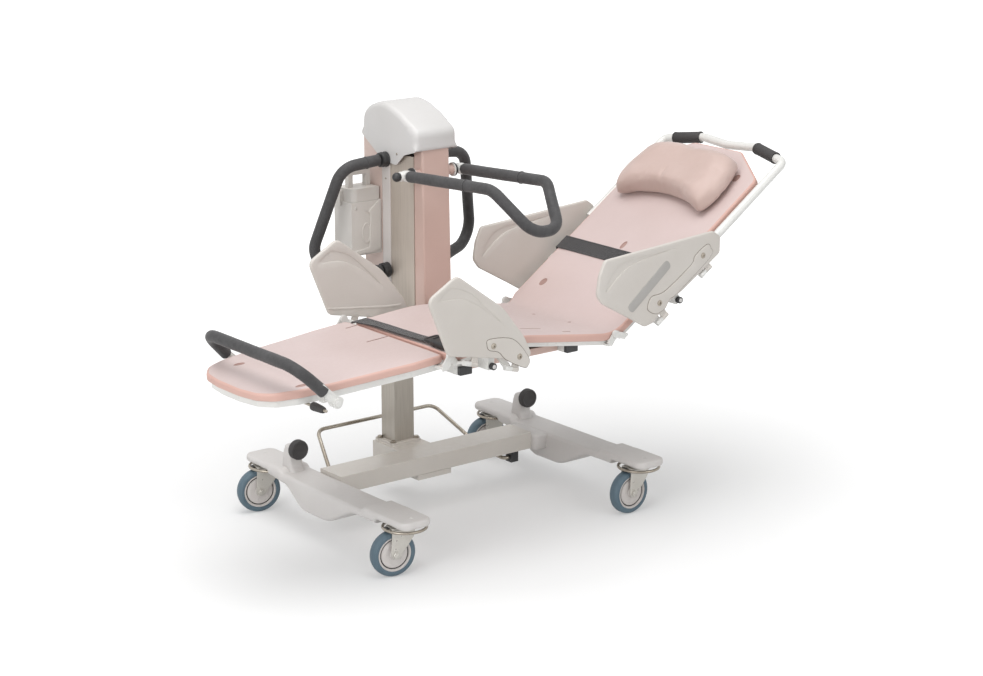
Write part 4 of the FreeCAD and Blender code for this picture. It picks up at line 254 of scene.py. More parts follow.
coat("rubber", (62, 60, 60), (52, 50, 50), 0.72, 0.07, 900, 0.0001, 25, 0.0004, wear=(84, 82, 81))
coat("tyre", (92, 112, 124), (82, 101, 113), 0.55, 0.08, 800, 0.00008, 30, 0.0003, wear=(126, 146, 156))
foam_skin("foam", (60, 59, 60), (52, 51, 52))
woven("webbing", (40, 38, 40), (29, 28, 30), "X", "Y")
coat("pill", (176, 173, 170), (168, 165, 161), 0.5, 0.06, 1200, 0.00004, 12, 0.0002)
coat("gap_line", (126, 116, 104), (108, 98, 88), 0.7, 0.05, 900, 0.00005, 20, 0.0002)

SURFACES = {
    "beam": ["base_beam", "mast_foot"],
    "black_plastic": ["pedal_blocks", "handle_cups", "arm_caps", "push_handles", "lift_motor"],
    "brushed": ["mast", "jack_tube"],
    "wire": ["pedal_bar"] + [f"brake_ring_{name}" for name, *_ in CASTORS],
    "sleeve": ["lift_sleeve"],
    "pink_shell": ["front_cover", "under_pan"],
    "pale_pink": ["rear_cover"],
    "ivory": ["side_plates"],
    "battery": ["battery_holder", "battery_pack", "battery_latch"],
    "white_paint": ["grab_rail", "arm_frame", "seat_frame", "leg_frame", "back_frame", "head_handle", "foot_bar"],
}

SOFT_EDGES = {"seat_frame": 1.6, "leg_frame": 2.4, "back_frame": 1.6, "battery_pack": 1.6, "battery_holder": 1.6,
              "front_cover": 1.0, "arm_frame": 1.6, "arm_caps": 2.0, "under_pan": 2.0, "mast_foot": 1.4,
              "side_plates": 1.4, "base_beam": 1.0}


def dress_node(node, material):
    slots = NODES[node].data.materials
    for index in range(len(slots)):
        slots[index] = M[material]
    if not slots:
        slots.append(M[material])


for material_name, node_names in SURFACES.items():
    for node_name in node_names:
        dress_node(node_name, material_name)


def soften(node, width):
    """Rounded edges on a CAD shell, as a modifier: its mesh stays as packed."""
    body = NODES[node]
    weld = body.modifiers.new("weld", "WELD")
    weld.merge_threshold = 0.02 * MM
    bevel = body.modifiers.new("soft_edges", "BEVEL")
    bevel.width = width * MM
    bevel.segments = 2
    bevel.limit_method = "ANGLE"
    bevel.angle_limit = math.radians(28)
    bevel.use_clamp_overlap = True
    bevel.harden_normals = False


# Mesh building.

def add_object(name, data):
    made = bpy.data.objects.new(name, data)
    bpy.context.scene.collection.objects.link(made)
    return made


def piece(name, bm, materials, body, sharp=34, replaces=()):
    """Finish a mesh: weld, orient, smooth by angle, and let it ride on its body."""
    bmesh.ops.remove_doubles(bm, verts=bm.verts, dist=WELD)
    bmesh.ops.recalc_face_normals(bm, faces=bm.faces)
    limit = math.radians(sharp)
    for face in bm.faces:
        face.smooth = True
    for edge in bm.edges:
        edge.smooth = len(edge.link_faces) == 2 and edge.calc_face_angle(0.0) < limit
    mesh = bpy.data.meshes.new(name)
    bm.to_mesh(mesh)
    bm.free()
    made = add_object(name, mesh)
    for material in [materials] if isinstance(materials, str) else materials:
        mesh.materials.append(M[material])
    if body:
        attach(made, body)
    if replaces:
        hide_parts(*replaces)
    return made


def add_face(bm, verts, material=0):
    unique = list(dict.fromkeys(verts))
    if len(unique) < 3 or bm.faces.get(unique):
        return None
    face = bm.faces.new(unique)
    face.material_index = material
    return face


def bridge(bm, low, high, material=0):
    """Faces between two rings of the same count, or a ring and a single point."""
    count = max(len(low), len(high))
    for index in range(count):
        after = (index + 1) % count
        corners = [low[index % len(low)], low[after % len(low)], high[after % len(high)], high[index % len(high)]]
        add_face(bm, corners, material)


def close_rings(bm, rings):
    """Faces between successive rings and over the two ends."""
    for low, high in zip(rings, rings[1:]):
        bridge(bm, low, high)
    add_face(bm, rings[0])
    add_face(bm, rings[-1])


def facing(place, spot, direction):
    """A place at a spot, with its own Z axis along a direction."""
    turn = Vector(direction).to_track_quat("Z", "Y").to_matrix().to_4x4()
    return place @ Matrix.Translation(Vector(spot)) @ turn


def lathe(bm, profile, place, steps, closed=False):
    """Turn (along, radius) points about the place's Z axis."""
    turns = [2 * math.pi * step / steps for step in range(steps)]
    rings = []
    for along, radius in profile:
        spots = [(radius * math.cos(a), radius * math.sin(a), along) for a in turns] if radius else [(0, 0, along)]
        rings.append([bm.verts.new(place @ Vector(spot)) for spot in spots])
    pairs = list(zip(rings, rings[1:]))
    if closed:
        pairs.append((rings[-1], rings[0]))
    for low, high in pairs:
        bridge(bm, low, high)


def bent_path(corners, bends, step=7.0):
    """Points along straight runs joined by tangent arcs."""
    corners = [Vector(corner) for corner in corners]
    spots = [corners[0]]

    def run_to(end):
        start = spots[-1]
        count = max(1, round((end - start).length / step))
        spots.extend(start.lerp(end, share / count) for share in range(1, count + 1))

    for before, corner, after, bend in zip(corners, corners[1:], corners[2:], bends):
        back, ahead = (before - corner).normalized(), (after - corner).normalized()
        half = back.angle(ahead) / 2
        centre = corner + (back + ahead).normalized() * (bend / math.sin(half))
        entry, leave = corner + back * (bend / math.tan(half)), corner + ahead * (bend / math.tan(half))
        run_to(entry)
        start, end = entry - centre, leave - centre
        sweep = start.angle(end)
        count = max(3, round(sweep / math.radians(7)))
        for share in range(1, count + 1):
            t = share / count
            arm = start * math.sin((1 - t) * sweep) + end * math.sin(t * sweep)
            spots.append(centre + arm / math.sin(sweep))
    run_to(corners[-1])
    return spots


def frames_along(path):
    """A centre, two cross directions and a tangent at every point, without twist."""
    tangents = []
    for index in range(len(path)):
        before, after = path[max(index - 1, 0)], path[min(index + 1, len(path) - 1)]
        tangents.append((after - before).normalized())
    across = tangents[0].orthogonal().normalized()
    frames = []
    for index, tangent in enumerate(tangents):
        if index:
            across = tangents[index - 1].rotation_difference(tangent) @ across
        across = (across - tangent * across.dot(tangent)).normalized()
        frames.append((path[index], across, tangent.cross(across), tangent))
    return frames


def tube(bm, place, path, radius, waver):
    """A foam sleeve along a path, with rounded ends and a skin that wavers a little."""
    sides, lip = 28, 3.0
    frames = frames_along(path)
    stations = []
    turns = [0.0, 0.4, 0.8, 1.2, math.pi / 2]
    first, last = frames[0], frames[-1]
    for turn in turns:
        stations.append((first, lip * (1 - math.cos(turn)), radius - lip * (1 - math.sin(turn))))
    stations += [(spot, 0.0, radius) for spot in frames[1:-1]
                 if (spot[0] - path[0]).length > lip * 1.3 and (spot[0] - path[-1]).length > lip * 1.3]
    for turn in reversed(turns):
        stations.append((last, -lip * (1 - math.cos(turn)), radius - lip * (1 - math.sin(turn))))
    rings = []
    for (centre, across, upward, tangent), shift, reach in stations:
        ring = []
        for side in range(sides):
            angle = 2 * math.pi * side / sides
            arm = across * math.cos(angle) + upward * math.sin(angle)
            spot = centre + tangent * shift + arm * reach
            spot += arm * waver * noise.noise(spot * 0.02)
            ring.append(bm.verts.new(place @ spot))
        rings.append(ring)
    close_rings(bm, rings)


def trimmed(path, at_start, at_end):
    """The part of a path that is at least so far from its two ends, measured along it."""
    lengths = [0.0]
    for before, after in zip(path, path[1:]):
        lengths.append(lengths[-1] + (after - before).length)
    return [spot for spot, along in zip(path, lengths) if at_start <= along <= lengths[-1] - at_end]


def rounded(corners, radius, steps):
    """A closed outline with its corners rounded, by one radius or one for each corner."""
    corners = [Vector(corner) for corner in corners]
    radii = radius if isinstance(radius, (list, tuple)) else [radius] * len(corners)
    spots = []
    for index, corner in enumerate(corners):
        before, after = corners[index - 1], corners[(index + 1) % len(corners)]
        back, ahead = before - corner, after - corner
        half = back.angle(ahead) / 2
        reach = min(radii[index] / math.tan(half), back.length * 0.48, ahead.length * 0.48)
        entry, leave = corner + back.normalized() * reach, corner + ahead.normalized() * reach
        for step in range(steps + 1):
            t = step / steps
            spots.append(entry * (1 - t) ** 2 + corner * 2 * t * (1 - t) + leave * t ** 2)
    return spots


def flowing(corners, steps):
    """A smooth closed curve through the given points."""
    corners = [Vector(corner) for corner in corners]
    count = len(corners)
    spots = []
    for index in range(count):
        a, b, c, d = (corners[(index + shift) % count] for shift in (-1, 0, 1, 2))
        for step in range(steps):
            t = step / steps
            spots.append(0.5 * (2 * b + (c - a) * t + (2 * a - 5 * b + 4 * c - d) * t ** 2 +
                                (3 * b - a - 3 * c + d) * t ** 3))
    return spots


def respaced(outline, step):
    """The same closed outline with points about so far apart."""
    spots = []
    for index, spot in enumerate(outline):
        after = outline[(index + 1) % len(outline)]
        count = max(1, round((after - spot).length / step))
        spots.extend(spot.lerp(after, share / count) for share in range(count))
    return spots


def area_of(outline):
    return sum(a.x * b.y - b.x * a.y for a, b in zip(outline, outline[1:] + outline[:1])) / 2


def anticlockwise(outline):
    return outline if area_of(outline) > 0 else outline[::-1]


def inset(outline, distance):
    """Move a closed, anticlockwise outline inwards."""
    spots = []
    for index, spot in enumerate(outline):
        before, after = outline[index - 1], outline[(index + 1) % len(outline)]
        one, two = (spot - before).normalized(), (after - spot).normalized()
        inward = Vector((-one.y - two.y, one.x + two.x))
        inward = inward.normalized() / max(0.5, inward.length / 2) if inward.length > 1e-6 else Vector((0, 0))
        spots.append(spot + inward * distance)
    return spots


def inside(spot, outline):
    crossings = False
    for a, b in zip(outline, outline[1:] + outline[:1]):
        if (a.y > spot.y) != (b.y > spot.y) and spot.x < (b.x - a.x) * (spot.y - a.y) / (b.y - a.y) + a.x:
            crossings = not crossings
    return crossings


def clear_of(spot, outline, gap):
    return all((spot - corner).length > gap for corner in outline)


def fill(outline, holes, step):
    """Triangles inside an outline and outside its holes: points, triangles and where each loop's points are."""
    low = Vector((min(p.x for p in outline), min(p.y for p in outline)))
    high = Vector((max(p.x for p in outline), max(p.y for p in outline)))
    points, loops = [], []
    for loop in [outline] + holes:
        loops.append(list(range(len(points), len(points) + len(loop))))
        points.extend(loop)
    edges = [(loop[i], loop[(i + 1) % len(loop)]) for loop in loops for i in range(len(loop))]
    rows, columns = int((high.y - low.y) / step) + 1, int((high.x - low.x) / step) + 1
    for row in range(rows):
        for column in range(columns):
            spot = low + Vector(((column + 0.5 * (row % 2) + 0.25) * step, (row + 0.5) * step))
            if inside(spot, outline) and clear_of(spot, outline, step * 0.55) and not any(
                    inside(spot, hole) or not clear_of(spot, hole, step * 0.45) for hole in holes):
                points.append(spot)
    found = geometry.delaunay_2d_cdt([Vector(p) for p in points], edges, [], 1, 1e-5)
    spots, triangles, origins = found[0], found[2], found[3]
    place_of = {}
    for index, sources in enumerate(origins):
        for source in sources:
            place_of[source] = index
    kept = []
    for triangle in triangles:
        middle = sum((spots[i] for i in triangle), Vector((0, 0))) / len(triangle)
        if not any(inside(middle, hole) for hole in holes):
            kept.append(triangle)
    return spots, kept, [[place_of[i] for i in loop] for loop in loops]


def fill_ring(bm, ring, verts, to_vert, step, holes=(), flip=False):
    """Faces over a ring that has its vertices already. Gives the vertices round each hole."""
    spots, triangles, loops = fill(ring, list(holes), step)
    made = dict(zip(loops[0], verts))
    for index, spot in enumerate(spots):
        if index not in made:
            made[index] = bm.verts.new(to_vert(spot))
    for triangle in triangles:
        add_face(bm, [made[i] for i in (triangle[::-1] if flip else triangle)])
    return [[made[i] for i in loop] for loop in loops[1:]]


def slab(bm, outline, profile, to_space, lift=None, wells=(), step=14.0, rim=0):
    """A closed form over an outline. The profile gives (inset, height) from the underside's rim up to the top's
    rim, lift the top's extra height, wells are (loop, depth, material, lip) sunk into the top, and rim is the
    material of the profile's sides."""
    outline = anticlockwise(outline)
    lift = lift or (lambda a, b: 0.0)
    rings = []
    for distance, height in profile:
        ring = inset(outline, distance) if distance else outline
        extra = [lift(p.x, p.y) if height > profile[0][1] * 0.3 else 0.0 for p in ring]
        rings.append((ring, [bm.verts.new(to_space(p.x, p.y, height + more)) for p, more in zip(ring, extra)]))
    for (_, low), (_, high) in zip(rings, rings[1:]):
        bridge(bm, low, high, rim)
    loops = [anticlockwise(well[0]) for well in wells]

    def on_top(p, depth=0.0):
        return to_space(p.x, p.y, profile[-1][1] + lift(p.x, p.y) - depth)
    rims = fill_ring(bm, *rings[-1], on_top, step, loops)
    for loop, upper, (_, depth, floor, lip) in zip(loops, rims, wells):
        for distance, share, use in ((lip * 0.4, 0.12, 0), (lip, 0.4, floor), (lip * 1.25, 1.0, floor)):
            lower = [bm.verts.new(on_top(p, depth * share)) for p in inset(loop, distance)]
            bridge(bm, upper, lower, use)
            upper = lower
        add_face(bm, upper, floor)
    fill_ring(bm, *rings[0], lambda p: to_space(p.x, p.y, profile[0][1]), step * 2.5, flip=True)


def edge_profile(thick, top_round, low_round, steps=4):
    """(inset, height) pairs round the rim of a plate whose top is at 0."""
    turns = [math.pi / 2 * step / steps for step in range(steps + 1)]
    low = [(low_round * (1 - math.sin(turn)), -thick + low_round * (1 - math.cos(turn))) for turn in turns]
    return low + [(top_round * (1 - math.cos(turn)), -top_round * (1 - math.sin(turn))) for turn in turns]


def plane_of(place, origin, across, upward, outward):
    """A map from plate coordinates (a, b, height) to space."""
    origin, across, upward, outward = Vector(origin), Vector(across), Vector(upward), Vector(outward)
    return lambda a, b, height: place @ (origin + across * a + upward * b + outward * height)


def raised(space, by):
    """The same map to space, with heights counted from a level above its own."""
    return lambda a, b, height: space(a, b, height + by)


def side_plane(place, y, outward):
    """Plate coordinates (x, z) on an upright plane, with heights along Y outwards."""
    return plane_of(place, (0, y, 0), X_AXIS, Z_AXIS, (0, outward, 0))


def floor_plane(place, z):
    return plane_of(place, (0, 0, z), X_AXIS, Y_AXIS, Z_AXIS)


def ellipse(a, b, long, wide, steps=24):
    return [Vector((a + long * math.cos(2 * math.pi * i / steps), b + wide * math.sin(2 * math.pi * i / steps)))
            for i in range(steps)]


def oblong(a, b, long, wide):
    return respaced(rounded([(a - long, b - wide), (a + long, b - wide), (a + long, b + wide), (a - long, b + wide)],
                            wide * 0.98, 5), 4.0)


def ribbon(bm, place, path, normals, width, sides):
    """A flat strap with a bead along each selvedge. sides are the directions across it."""
    thick = BELT_THICK
    half, mid = width / 2, thick / 2
    section = [(-half, mid * 0.2), (-half, thick * 1.0), (-half + 1.2, thick * 1.12), (-half + 2.6, thick * 0.94)]
    section += [(-half + 2.6 + (width - 5.2) * i / 6, thick * 0.94) for i in range(1, 6)]
    section += [(half - 2.6, thick * 0.94), (half - 1.2, thick * 1.12), (half, thick), (half, mid * 0.2),
                (half - 1.2, 0), (-half + 1.2, 0)]
    rings = []
    for spot, normal, toward in zip(path, normals, sides):
        toward = Vector(toward).normalized()
        rings.append([bm.verts.new(place @ (spot + toward * across + normal * up)) for across, up in section])
    close_rings(bm, rings)


def screw(bm, place, radius, high):
    """Button head with a hexagon socket, standing on the place's own XY plane."""
    lathe(bm, [(0, radius), (high * 0.35, radius), (high * 0.75, radius * 0.86), (high, radius * 0.58)], place, 24)
    lathe(bm, [(high, radius * 0.58), (high * 0.96, radius * 0.46)], place, 24)
    lathe(bm, [(high * 0.96, radius * 0.46), (high * 0.3, radius * 0.44), (high * 0.3, 0)], place, 6)


# Bed mat: one moulded mat over the seat and the back, bending at the hip.

def mat_curve():
    """Points of the mat's top line from the knee to the head end, every few millimetres."""
    crest = Vector((-88, 620))
    start, hip = Vector((-303, 604.2)), Vector((HIP.x, HIP.z))
    end = hip + Vector((math.cos(BACK_TILT), math.sin(BACK_TILT))) * 716
    corners = [Vector((p.x, 0, p.y)) for p in (start, crest, hip, end)]
    return [Vector((p.x, p.z)) for p in bent_path(corners, [420, 112], 4.0)]


MAT = mat_curve()
MAT_AT = [0.0]
for one, two in zip(MAT, MAT[1:]):
    MAT_AT.append(MAT_AT[-1] + (two - one).length)
MAT_LONG = MAT_AT[-1]


def mat_spot(s):
    """Point and upward normal on the mat's top line at a length s along it."""
    low, high = 0, len(MAT_AT) - 1
    while high - low > 1:
        middle = (low + high) // 2
        low, high = (middle, high) if MAT_AT[middle] <= s else (low, middle)
    share = (s - MAT_AT[low]) / (MAT_AT[high] - MAT_AT[low])
    spot = MAT[low].lerp(MAT[high], share)

    def tangent(index):
        return (MAT[min(index + 1, len(MAT) - 1)] - MAT[max(index - 1, 0)]).normalized()
    along = tangent(low).lerp(tangent(high), min(max(share, 0), 1)).normalized()
    return spot, Vector((-along.y, along.x))


def mat_space(s, v, w):
    spot, normal = mat_spot(s)
    return WORLD @ Vector((spot.x + normal.x * w, BED_Y + v, spot.y + normal.y * w))


def mat_length_at(x, z):
    """Length along the mat nearest to a point of its side view."""
    best = min(range(len(MAT)), key=lambda i: (MAT[i] - Vector((x, z))).length)
    return MAT_AT[best]


def on_back(u):
    return mat_length_at(HIP.x + u * math.cos(BACK_TILT), HIP.z + u * math.sin(BACK_TILT))


def smooth(share):
    share = min(max(share, 0.0), 1.0)
    return share * share * (3 - 2 * share)


def make_bed_mat():
    hip = mat_length_at(250, 575)
    shoulder, end = on_back(628), MAT_LONG
    half, head_half, far_half = 232, 97, 196
    near = [(0, -half), (shoulder, -half), (end, -head_half)]
    far = [(end, head_half), (shoulder, half), (hip + 30, half), (hip - 25, far_half), (0, far_half)]
    outline = respaced(rounded(near + far, [22, 34, 34, 34, 34, 20, 20, 22], 7), 9.0)
    wells = []
    # Every well takes material 1, the darkened copy of the skin: painted shade in the recesses.
    for u, v, long, wide in ((97.6, 166, 15, 12), (292, 8, 16, 9), (616, -162, 15, 12)):
        wells.append((ellipse(on_back(u), v, long, wide), 2.2, 1, 1.6))
    for x, y, z, long in ((190, -162, 579, 6.5), (215, -279, 575, 6.5)):
        wells.append((ellipse(mat_length_at(x, z), y - BED_Y, long, 4.5, 16), 2.5, 1, 1.2))
    for x, y, z, long in ((26, -351, 603, 36), (113, -396, 590, 15), (-30, -120, 612, 30)):
        wells.append((oblong(mat_length_at(x, z), y - BED_Y, long, 3.2), 4.0, 1, 0.8))

    def lift(s, v):
        """A soft crown, a shallow seat, and small waves as in any moulded foam."""
        across = 1 - abs(v) / 235
        crown = 1.6 * smooth(across * 3.5)
        seat = -1.8 * math.exp(-((s - hip + 60) / 130) ** 2 - (v / 150) ** 2)
        return crown + seat + 0.5 * noise.noise(Vector((s, v, 0)) * 0.011)

    bm = bmesh.new()
    # The sides (rim=2) take the deeper copy of the skin; the top's paler copy is painted sheen.
    slab(bm, outline, edge_profile(20, 5, 3), mat_space, lift, wells, 13.0, rim=2)
    mat = piece("bed_mat", bm, ["skin", "skin_recess_painted_shade", "skin_side_without_painted_sheen"], None, 38, ("seat_pad", "back_pad"))
    start, end = mat_space(hip - 70, 0, -10), mat_space(hip + 70, 0, -10)
    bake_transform(mat)


def leg_space(u, v, w):
    return LEG @ Vector((u, v, w))


def make_leg_mat():
    plan = [(-6, 217), (-96, 217), (-330, 196), (-420, 180), (-478, 157), (-507, 115), (-517, 49)]
    plan = plan + [(u, -v) for u, v in plan[::-1]]
    outline = respaced(rounded(plan, [16, 60, 200, 120, 60, 60, 160, 160, 60, 60, 120, 200, 60, 16], 8), 8.0)
    # Every well takes material 1, the darkened copy of the skin: painted shade in the recesses.
    wells = [(ellipse(-410, 112, 17, 10), 2.2, 1, 1.6), (ellipse(-396, -152, 17, 10), 2.2, 1, 1.6),
             (oblong(-44, 18, 36, 3.2), 4.0, 1, 0.8), (oblong(-28, 160, 20, 3.2), 4.0, 1, 0.8)]

    def lift(u, v):
        crown = 1.4 * smooth((1 - abs(v) / 215) * 3.5)
        toe = -2.6 * smooth((-440 - u) / 70)
        return crown + toe + 0.5 * noise.noise(Vector((u, v, 9)) * 0.011)

    bm = bmesh.new()
    # The sides (rim=2) take the deeper copy of the skin; the top's paler copy is painted sheen.
    slab(bm, outline, edge_profile(20, 6, 3), leg_space, lift, wells, 13.0, rim=2)
    mat = piece("leg_mat", bm, ["skin", "skin_recess_painted_shade", "skin_side_without_painted_sheen"], "leg", 38, ("leg_pad",))


# Pillow: a butterfly head cushion, blown up a little by a cloth simulation.

def pillow_form():
    """Closed starting form of the pillow, in the back section's own axes."""
    bm = bmesh.new()
    rows, columns = 15, 29
    middle_u, middle_v, thick, dome = 560, 6, 20, 50
    grids = {}
    for face_side in (1, -1):
        for row in range(rows + 1):
            for column in range(columns + 1):
                across = -1 + 2 * column / columns
                along = -1 + 2 * row / rows
                edge = min(1 - abs(across), 1 - abs(along))
                puff = max(0.0, (1 - across ** 6) * (1 - along ** 6)) ** 0.40
                a = across * math.sqrt(1 - 0.24 * along ** 2)
                b = along * math.sqrt(1 - 0.24 * across ** 2)
                v = middle_v + a * (208 - 16 * smooth((b + 1) / 2))
                low_edge = -124 + 46 * (1 - min(1.0, abs(a) * 1.2) ** 2)
                high_edge = 112 - 8 * abs(a) ** 3
                u = middle_u + low_edge + (high_edge - low_edge) * (b + 1) / 2
                lobes = 0.84 + 0.16 * abs(a) ** 1.5 + 0.06 * smooth((b + 0.3) / 1.2)
                high = thick + (dome * puff * lobes if face_side > 0 else -17 * min(1.0, edge * 6))
                if edge <= 0 and face_side < 0:
                    continue
                grids[face_side, row, column] = bm.verts.new(BACK @ Vector((u, v, high)))
    def vert(side, row, column):
        return grids.get((side, row, column)) or grids[1, row, column]
    for side in (1, -1):
        for row in range(rows):
            for column in range(columns):
                corners = [vert(side, row, column), vert(side, row, column + 1), vert(side, row + 1, column + 1),
                           vert(side, row + 1, column)]
                add_face(bm, corners if side > 0 else corners[::-1])
    return bm


def apply_modifier(made, name):
    with bpy.context.temp_override(object=made, active_object=made, selected_objects=[made]):
        bpy.ops.object.modifier_apply(modifier=name)


def blow_up(made, voxel, pressure, cap):
    """Voxel remesh, cloth with pressure and no gravity, and a limit on how far a point may move."""
    bpy.context.view_layer.objects.active = made
    remesh = made.modifiers.new("remesh", "REMESH")
    remesh.mode = "VOXEL"
    remesh.voxel_size = voxel * MM
    remesh.use_smooth_shade = True
    apply_modifier(made, "remesh")
    rest = [vert.co.copy() for vert in made.data.vertices]
    cloth = made.modifiers.new("cloth", "CLOTH")
    cloth.settings.use_pressure = True
    cloth.settings.uniform_pressure_force = pressure
    cloth.settings.effector_weights.gravity = 0
    cloth.settings.quality = 6
    cloth.settings.mass = 0.4
    cloth.settings.tension_stiffness = 25
    cloth.settings.bending_stiffness = 1.5
    for number in range(1, 21):
        bpy.context.scene.frame_set(number)
    apply_modifier(made, "cloth")
    bpy.context.scene.frame_set(1)
    for vert, start in zip(made.data.vertices, rest):
        move = vert.co - start
        if move.length > cap * MM:
            vert.co = start + move.normalized() * (cap * MM)
    bm = bmesh.new()
    bm.from_mesh(made.data)
    for _ in range(4):
        bmesh.ops.smooth_vert(bm, verts=bm.verts, factor=0.5, use_axis_x=True, use_axis_y=True, use_axis_z=True)
    bm.to_mesh(made.data)
    bm.free()


def make_pillow():
    pillow = piece("pillow_cushion", pillow_form(), "pillow", None, sharp=80)
    blow_up(pillow, 5.0, 4.0, 7.0)
    to_back = BACK.inverted()
    for vert in pillow.data.vertices:
        u, v, w = to_back @ vert.co
        crease = math.exp(-((v - 18 - (u - 500) * 0.12) / 6.0) ** 2) * smooth((570 - u) / 60) * smooth((u - 480) / 12)
        w -= 4.0 * crease if w > 22 else 0.0
        w = max(w, 1.6)
        if w > 10:
            w += 0.9 * noise.noise(Vector((u, v, w)) * 0.03)
        vert.co = BACK @ Vector((u, v, w))
    for face in pillow.data.polygons:
        face.use_smooth = True
    finer = pillow.modifiers.new("finer", "SUBSURF")
    finer.levels = finer.render_levels = 1
    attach(pillow, "back")
    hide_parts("pillow")


# Straps.

def make_straps():
    bm = bmesh.new()
    near = [(248, -238, -15), (248, -236.5, 1.6), (248, -214, 2.2)]
    corners = near + [(u, -v, w) for u, v, w in near[::-1]]
    path = bent_path(corners, [3, 12, 12, 3], 9.0)
    normals = []
    for index, spot in enumerate(path):
        before, after = path[max(index - 1, 0)], path[min(index + 1, len(path) - 1)]
        along = (after - before).normalized()
        normals.append(Vector((0, -along.z, along.y)))
    ribbon(bm, BACK, path, normals, 48, [X_AXIS] * len(path))
    piece("chest_belt", bm, "webbing", "back", 50, ("chest_strap",))

    bm = bmesh.new()
    path, normals, sides = [], [], []
    far_x, far_y, run_x, run_y, steps = -290, -2, 22, 434, 60
    for step in range(steps + 1):
        share = step / steps
        x, y = far_x + run_x * share, far_y - run_y * share
        s = mat_length_at(x, 606.5)
        spot, normal = mat_spot(s)
        edge = max(0.0, abs(y + 218) - 205) / 12
        drop = 9 * edge ** 2
        lean = 0.15 * smooth((share - 0.04) / 0.22) * (1 - smooth((share - 0.86) / 0.1))
        rise = 2.6 + 0.6 * math.sin(share * 9) + 22 * lean
        path.append(Vector((x, y, spot.y + rise - drop)))
        normals.append(Vector((normal.x, 0, normal.y)))
        sides.append((1, 0.02, 0.073 - lean))
    ribbon(bm, WORLD, path, normals, 44, sides)
    piece("thigh_belt", bm, "webbing", "lift", 50, ("thigh_strap",))
    make_buckle()


def make_buckle():
    """Push-button buckle on the thigh belt: a socket half, a tongue half and its strap slots."""
    s = mat_length_at(-270, 606)
    spot, normal = mat_spot(s)
    tilt = Vector((normal.y, 0, -normal.x))
    up = Vector((normal.x, 0, normal.y))
    origin = Vector((-269.5, -364, spot.y)) + up * 6.0
    space = plane_of(WORLD, origin, tilt * 1.08, Vector((0, 1.18, 0)), up * 1.25)
    bm = bmesh.new()
    body = respaced(rounded([(-27, -30), (27, -30), (27, 6), (23, 26), (-23, 26), (-27, 6)], [7, 7, 5, 8, 8, 5], 5),
                    4.0)
    button = rounded([(-13, -24), (13, -24), (13, -6), (-13, -6)], 4, 4)
    window = rounded([(-19, 8), (19, 8), (17, 20), (-17, 20)], 3, 4)

    def shell(a, b, height):
        return space(a, b, height + 11 + 2.5 * math.cos(a / 19))
    slab(bm, body, edge_profile(13, 3.5, 2), shell, None,
         [(respaced(button, 4), 1.6, 0, 0.8), (respaced(window, 4), 2.6, 1, 0.8)], 6.0)
    tongue = rounded([(-22, 24), (22, 24), (24, 44), (17, 52), (-17, 52), (-24, 44)], [3, 3, 6, 6, 6, 6], 5)
    slot_loop = rounded([(-17, 40), (17, 40), (17, 46), (-17, 46)], 2.5, 4)
    slab(bm, respaced(tongue, 4), edge_profile(7, 2, 2), raised(space, 8), None,
         [(respaced(slot_loop, 4), 3.0, 1, 0.6)], 6.0)
    bar = rounded([(-25, -44), (25, -44), (25, -33), (-25, -33)], 4, 4)
    slab(bm, respaced(bar, 4), edge_profile(6, 2, 2), raised(space, 6.5), step=6.0)
    piece("belt_buckle", bm, ["black_plastic", "rubber"], "lift")


# Foam sleeves and grips.

def handle_path(side):
    corners = [(71.3, HANDLE_Y, HANDLE_TOP), (99, HANDLE_Y, HANDLE_TOP), (210, 176, 984), (283, 245, 708),
               (99, HANDLE_Y, HANDLE_LOW), (69, HANDLE_Y, HANDLE_LOW)]
    corners = [(x * side, y, z) for x, y, z in corners]
    return bent_path(corners, [30, 60, 60, 30])


def rail_path():
    right = [(RAIL_X, RAIL_Y, RAIL_Z), (RAIL_X, -335, 990), (42, -445, 888)]
    corners = right + [(-x, y, z) for x, y, z in right[::-1]]
    return bent_path(corners, [50, 50, 50, 50])


def foot_path():
    right = [(-350, 231, -37), (-444, 212, 72)]
    corners = right + [(u, -v, w) for u, v, w in right[::-1]]
    return bent_path(corners, [60, 60])


def ring_on(bm, place, path, share, radius, wide, raise_by):
    """A joint ring round a tube at a share of its path."""
    index = min(int(len(path) * share), len(path) - 2)
    spot, ahead = path[index], path[index + 1]
    at = facing(place, spot, ahead - spot)
    lathe(bm, [(-wide, radius - 1), (-wide, radius + raise_by * 0.6), (-wide * 0.5, radius + raise_by),
               (wide * 0.5, radius + raise_by), (wide, radius + raise_by * 0.6), (wide, radius - 1)], at, 32,
          closed=True)


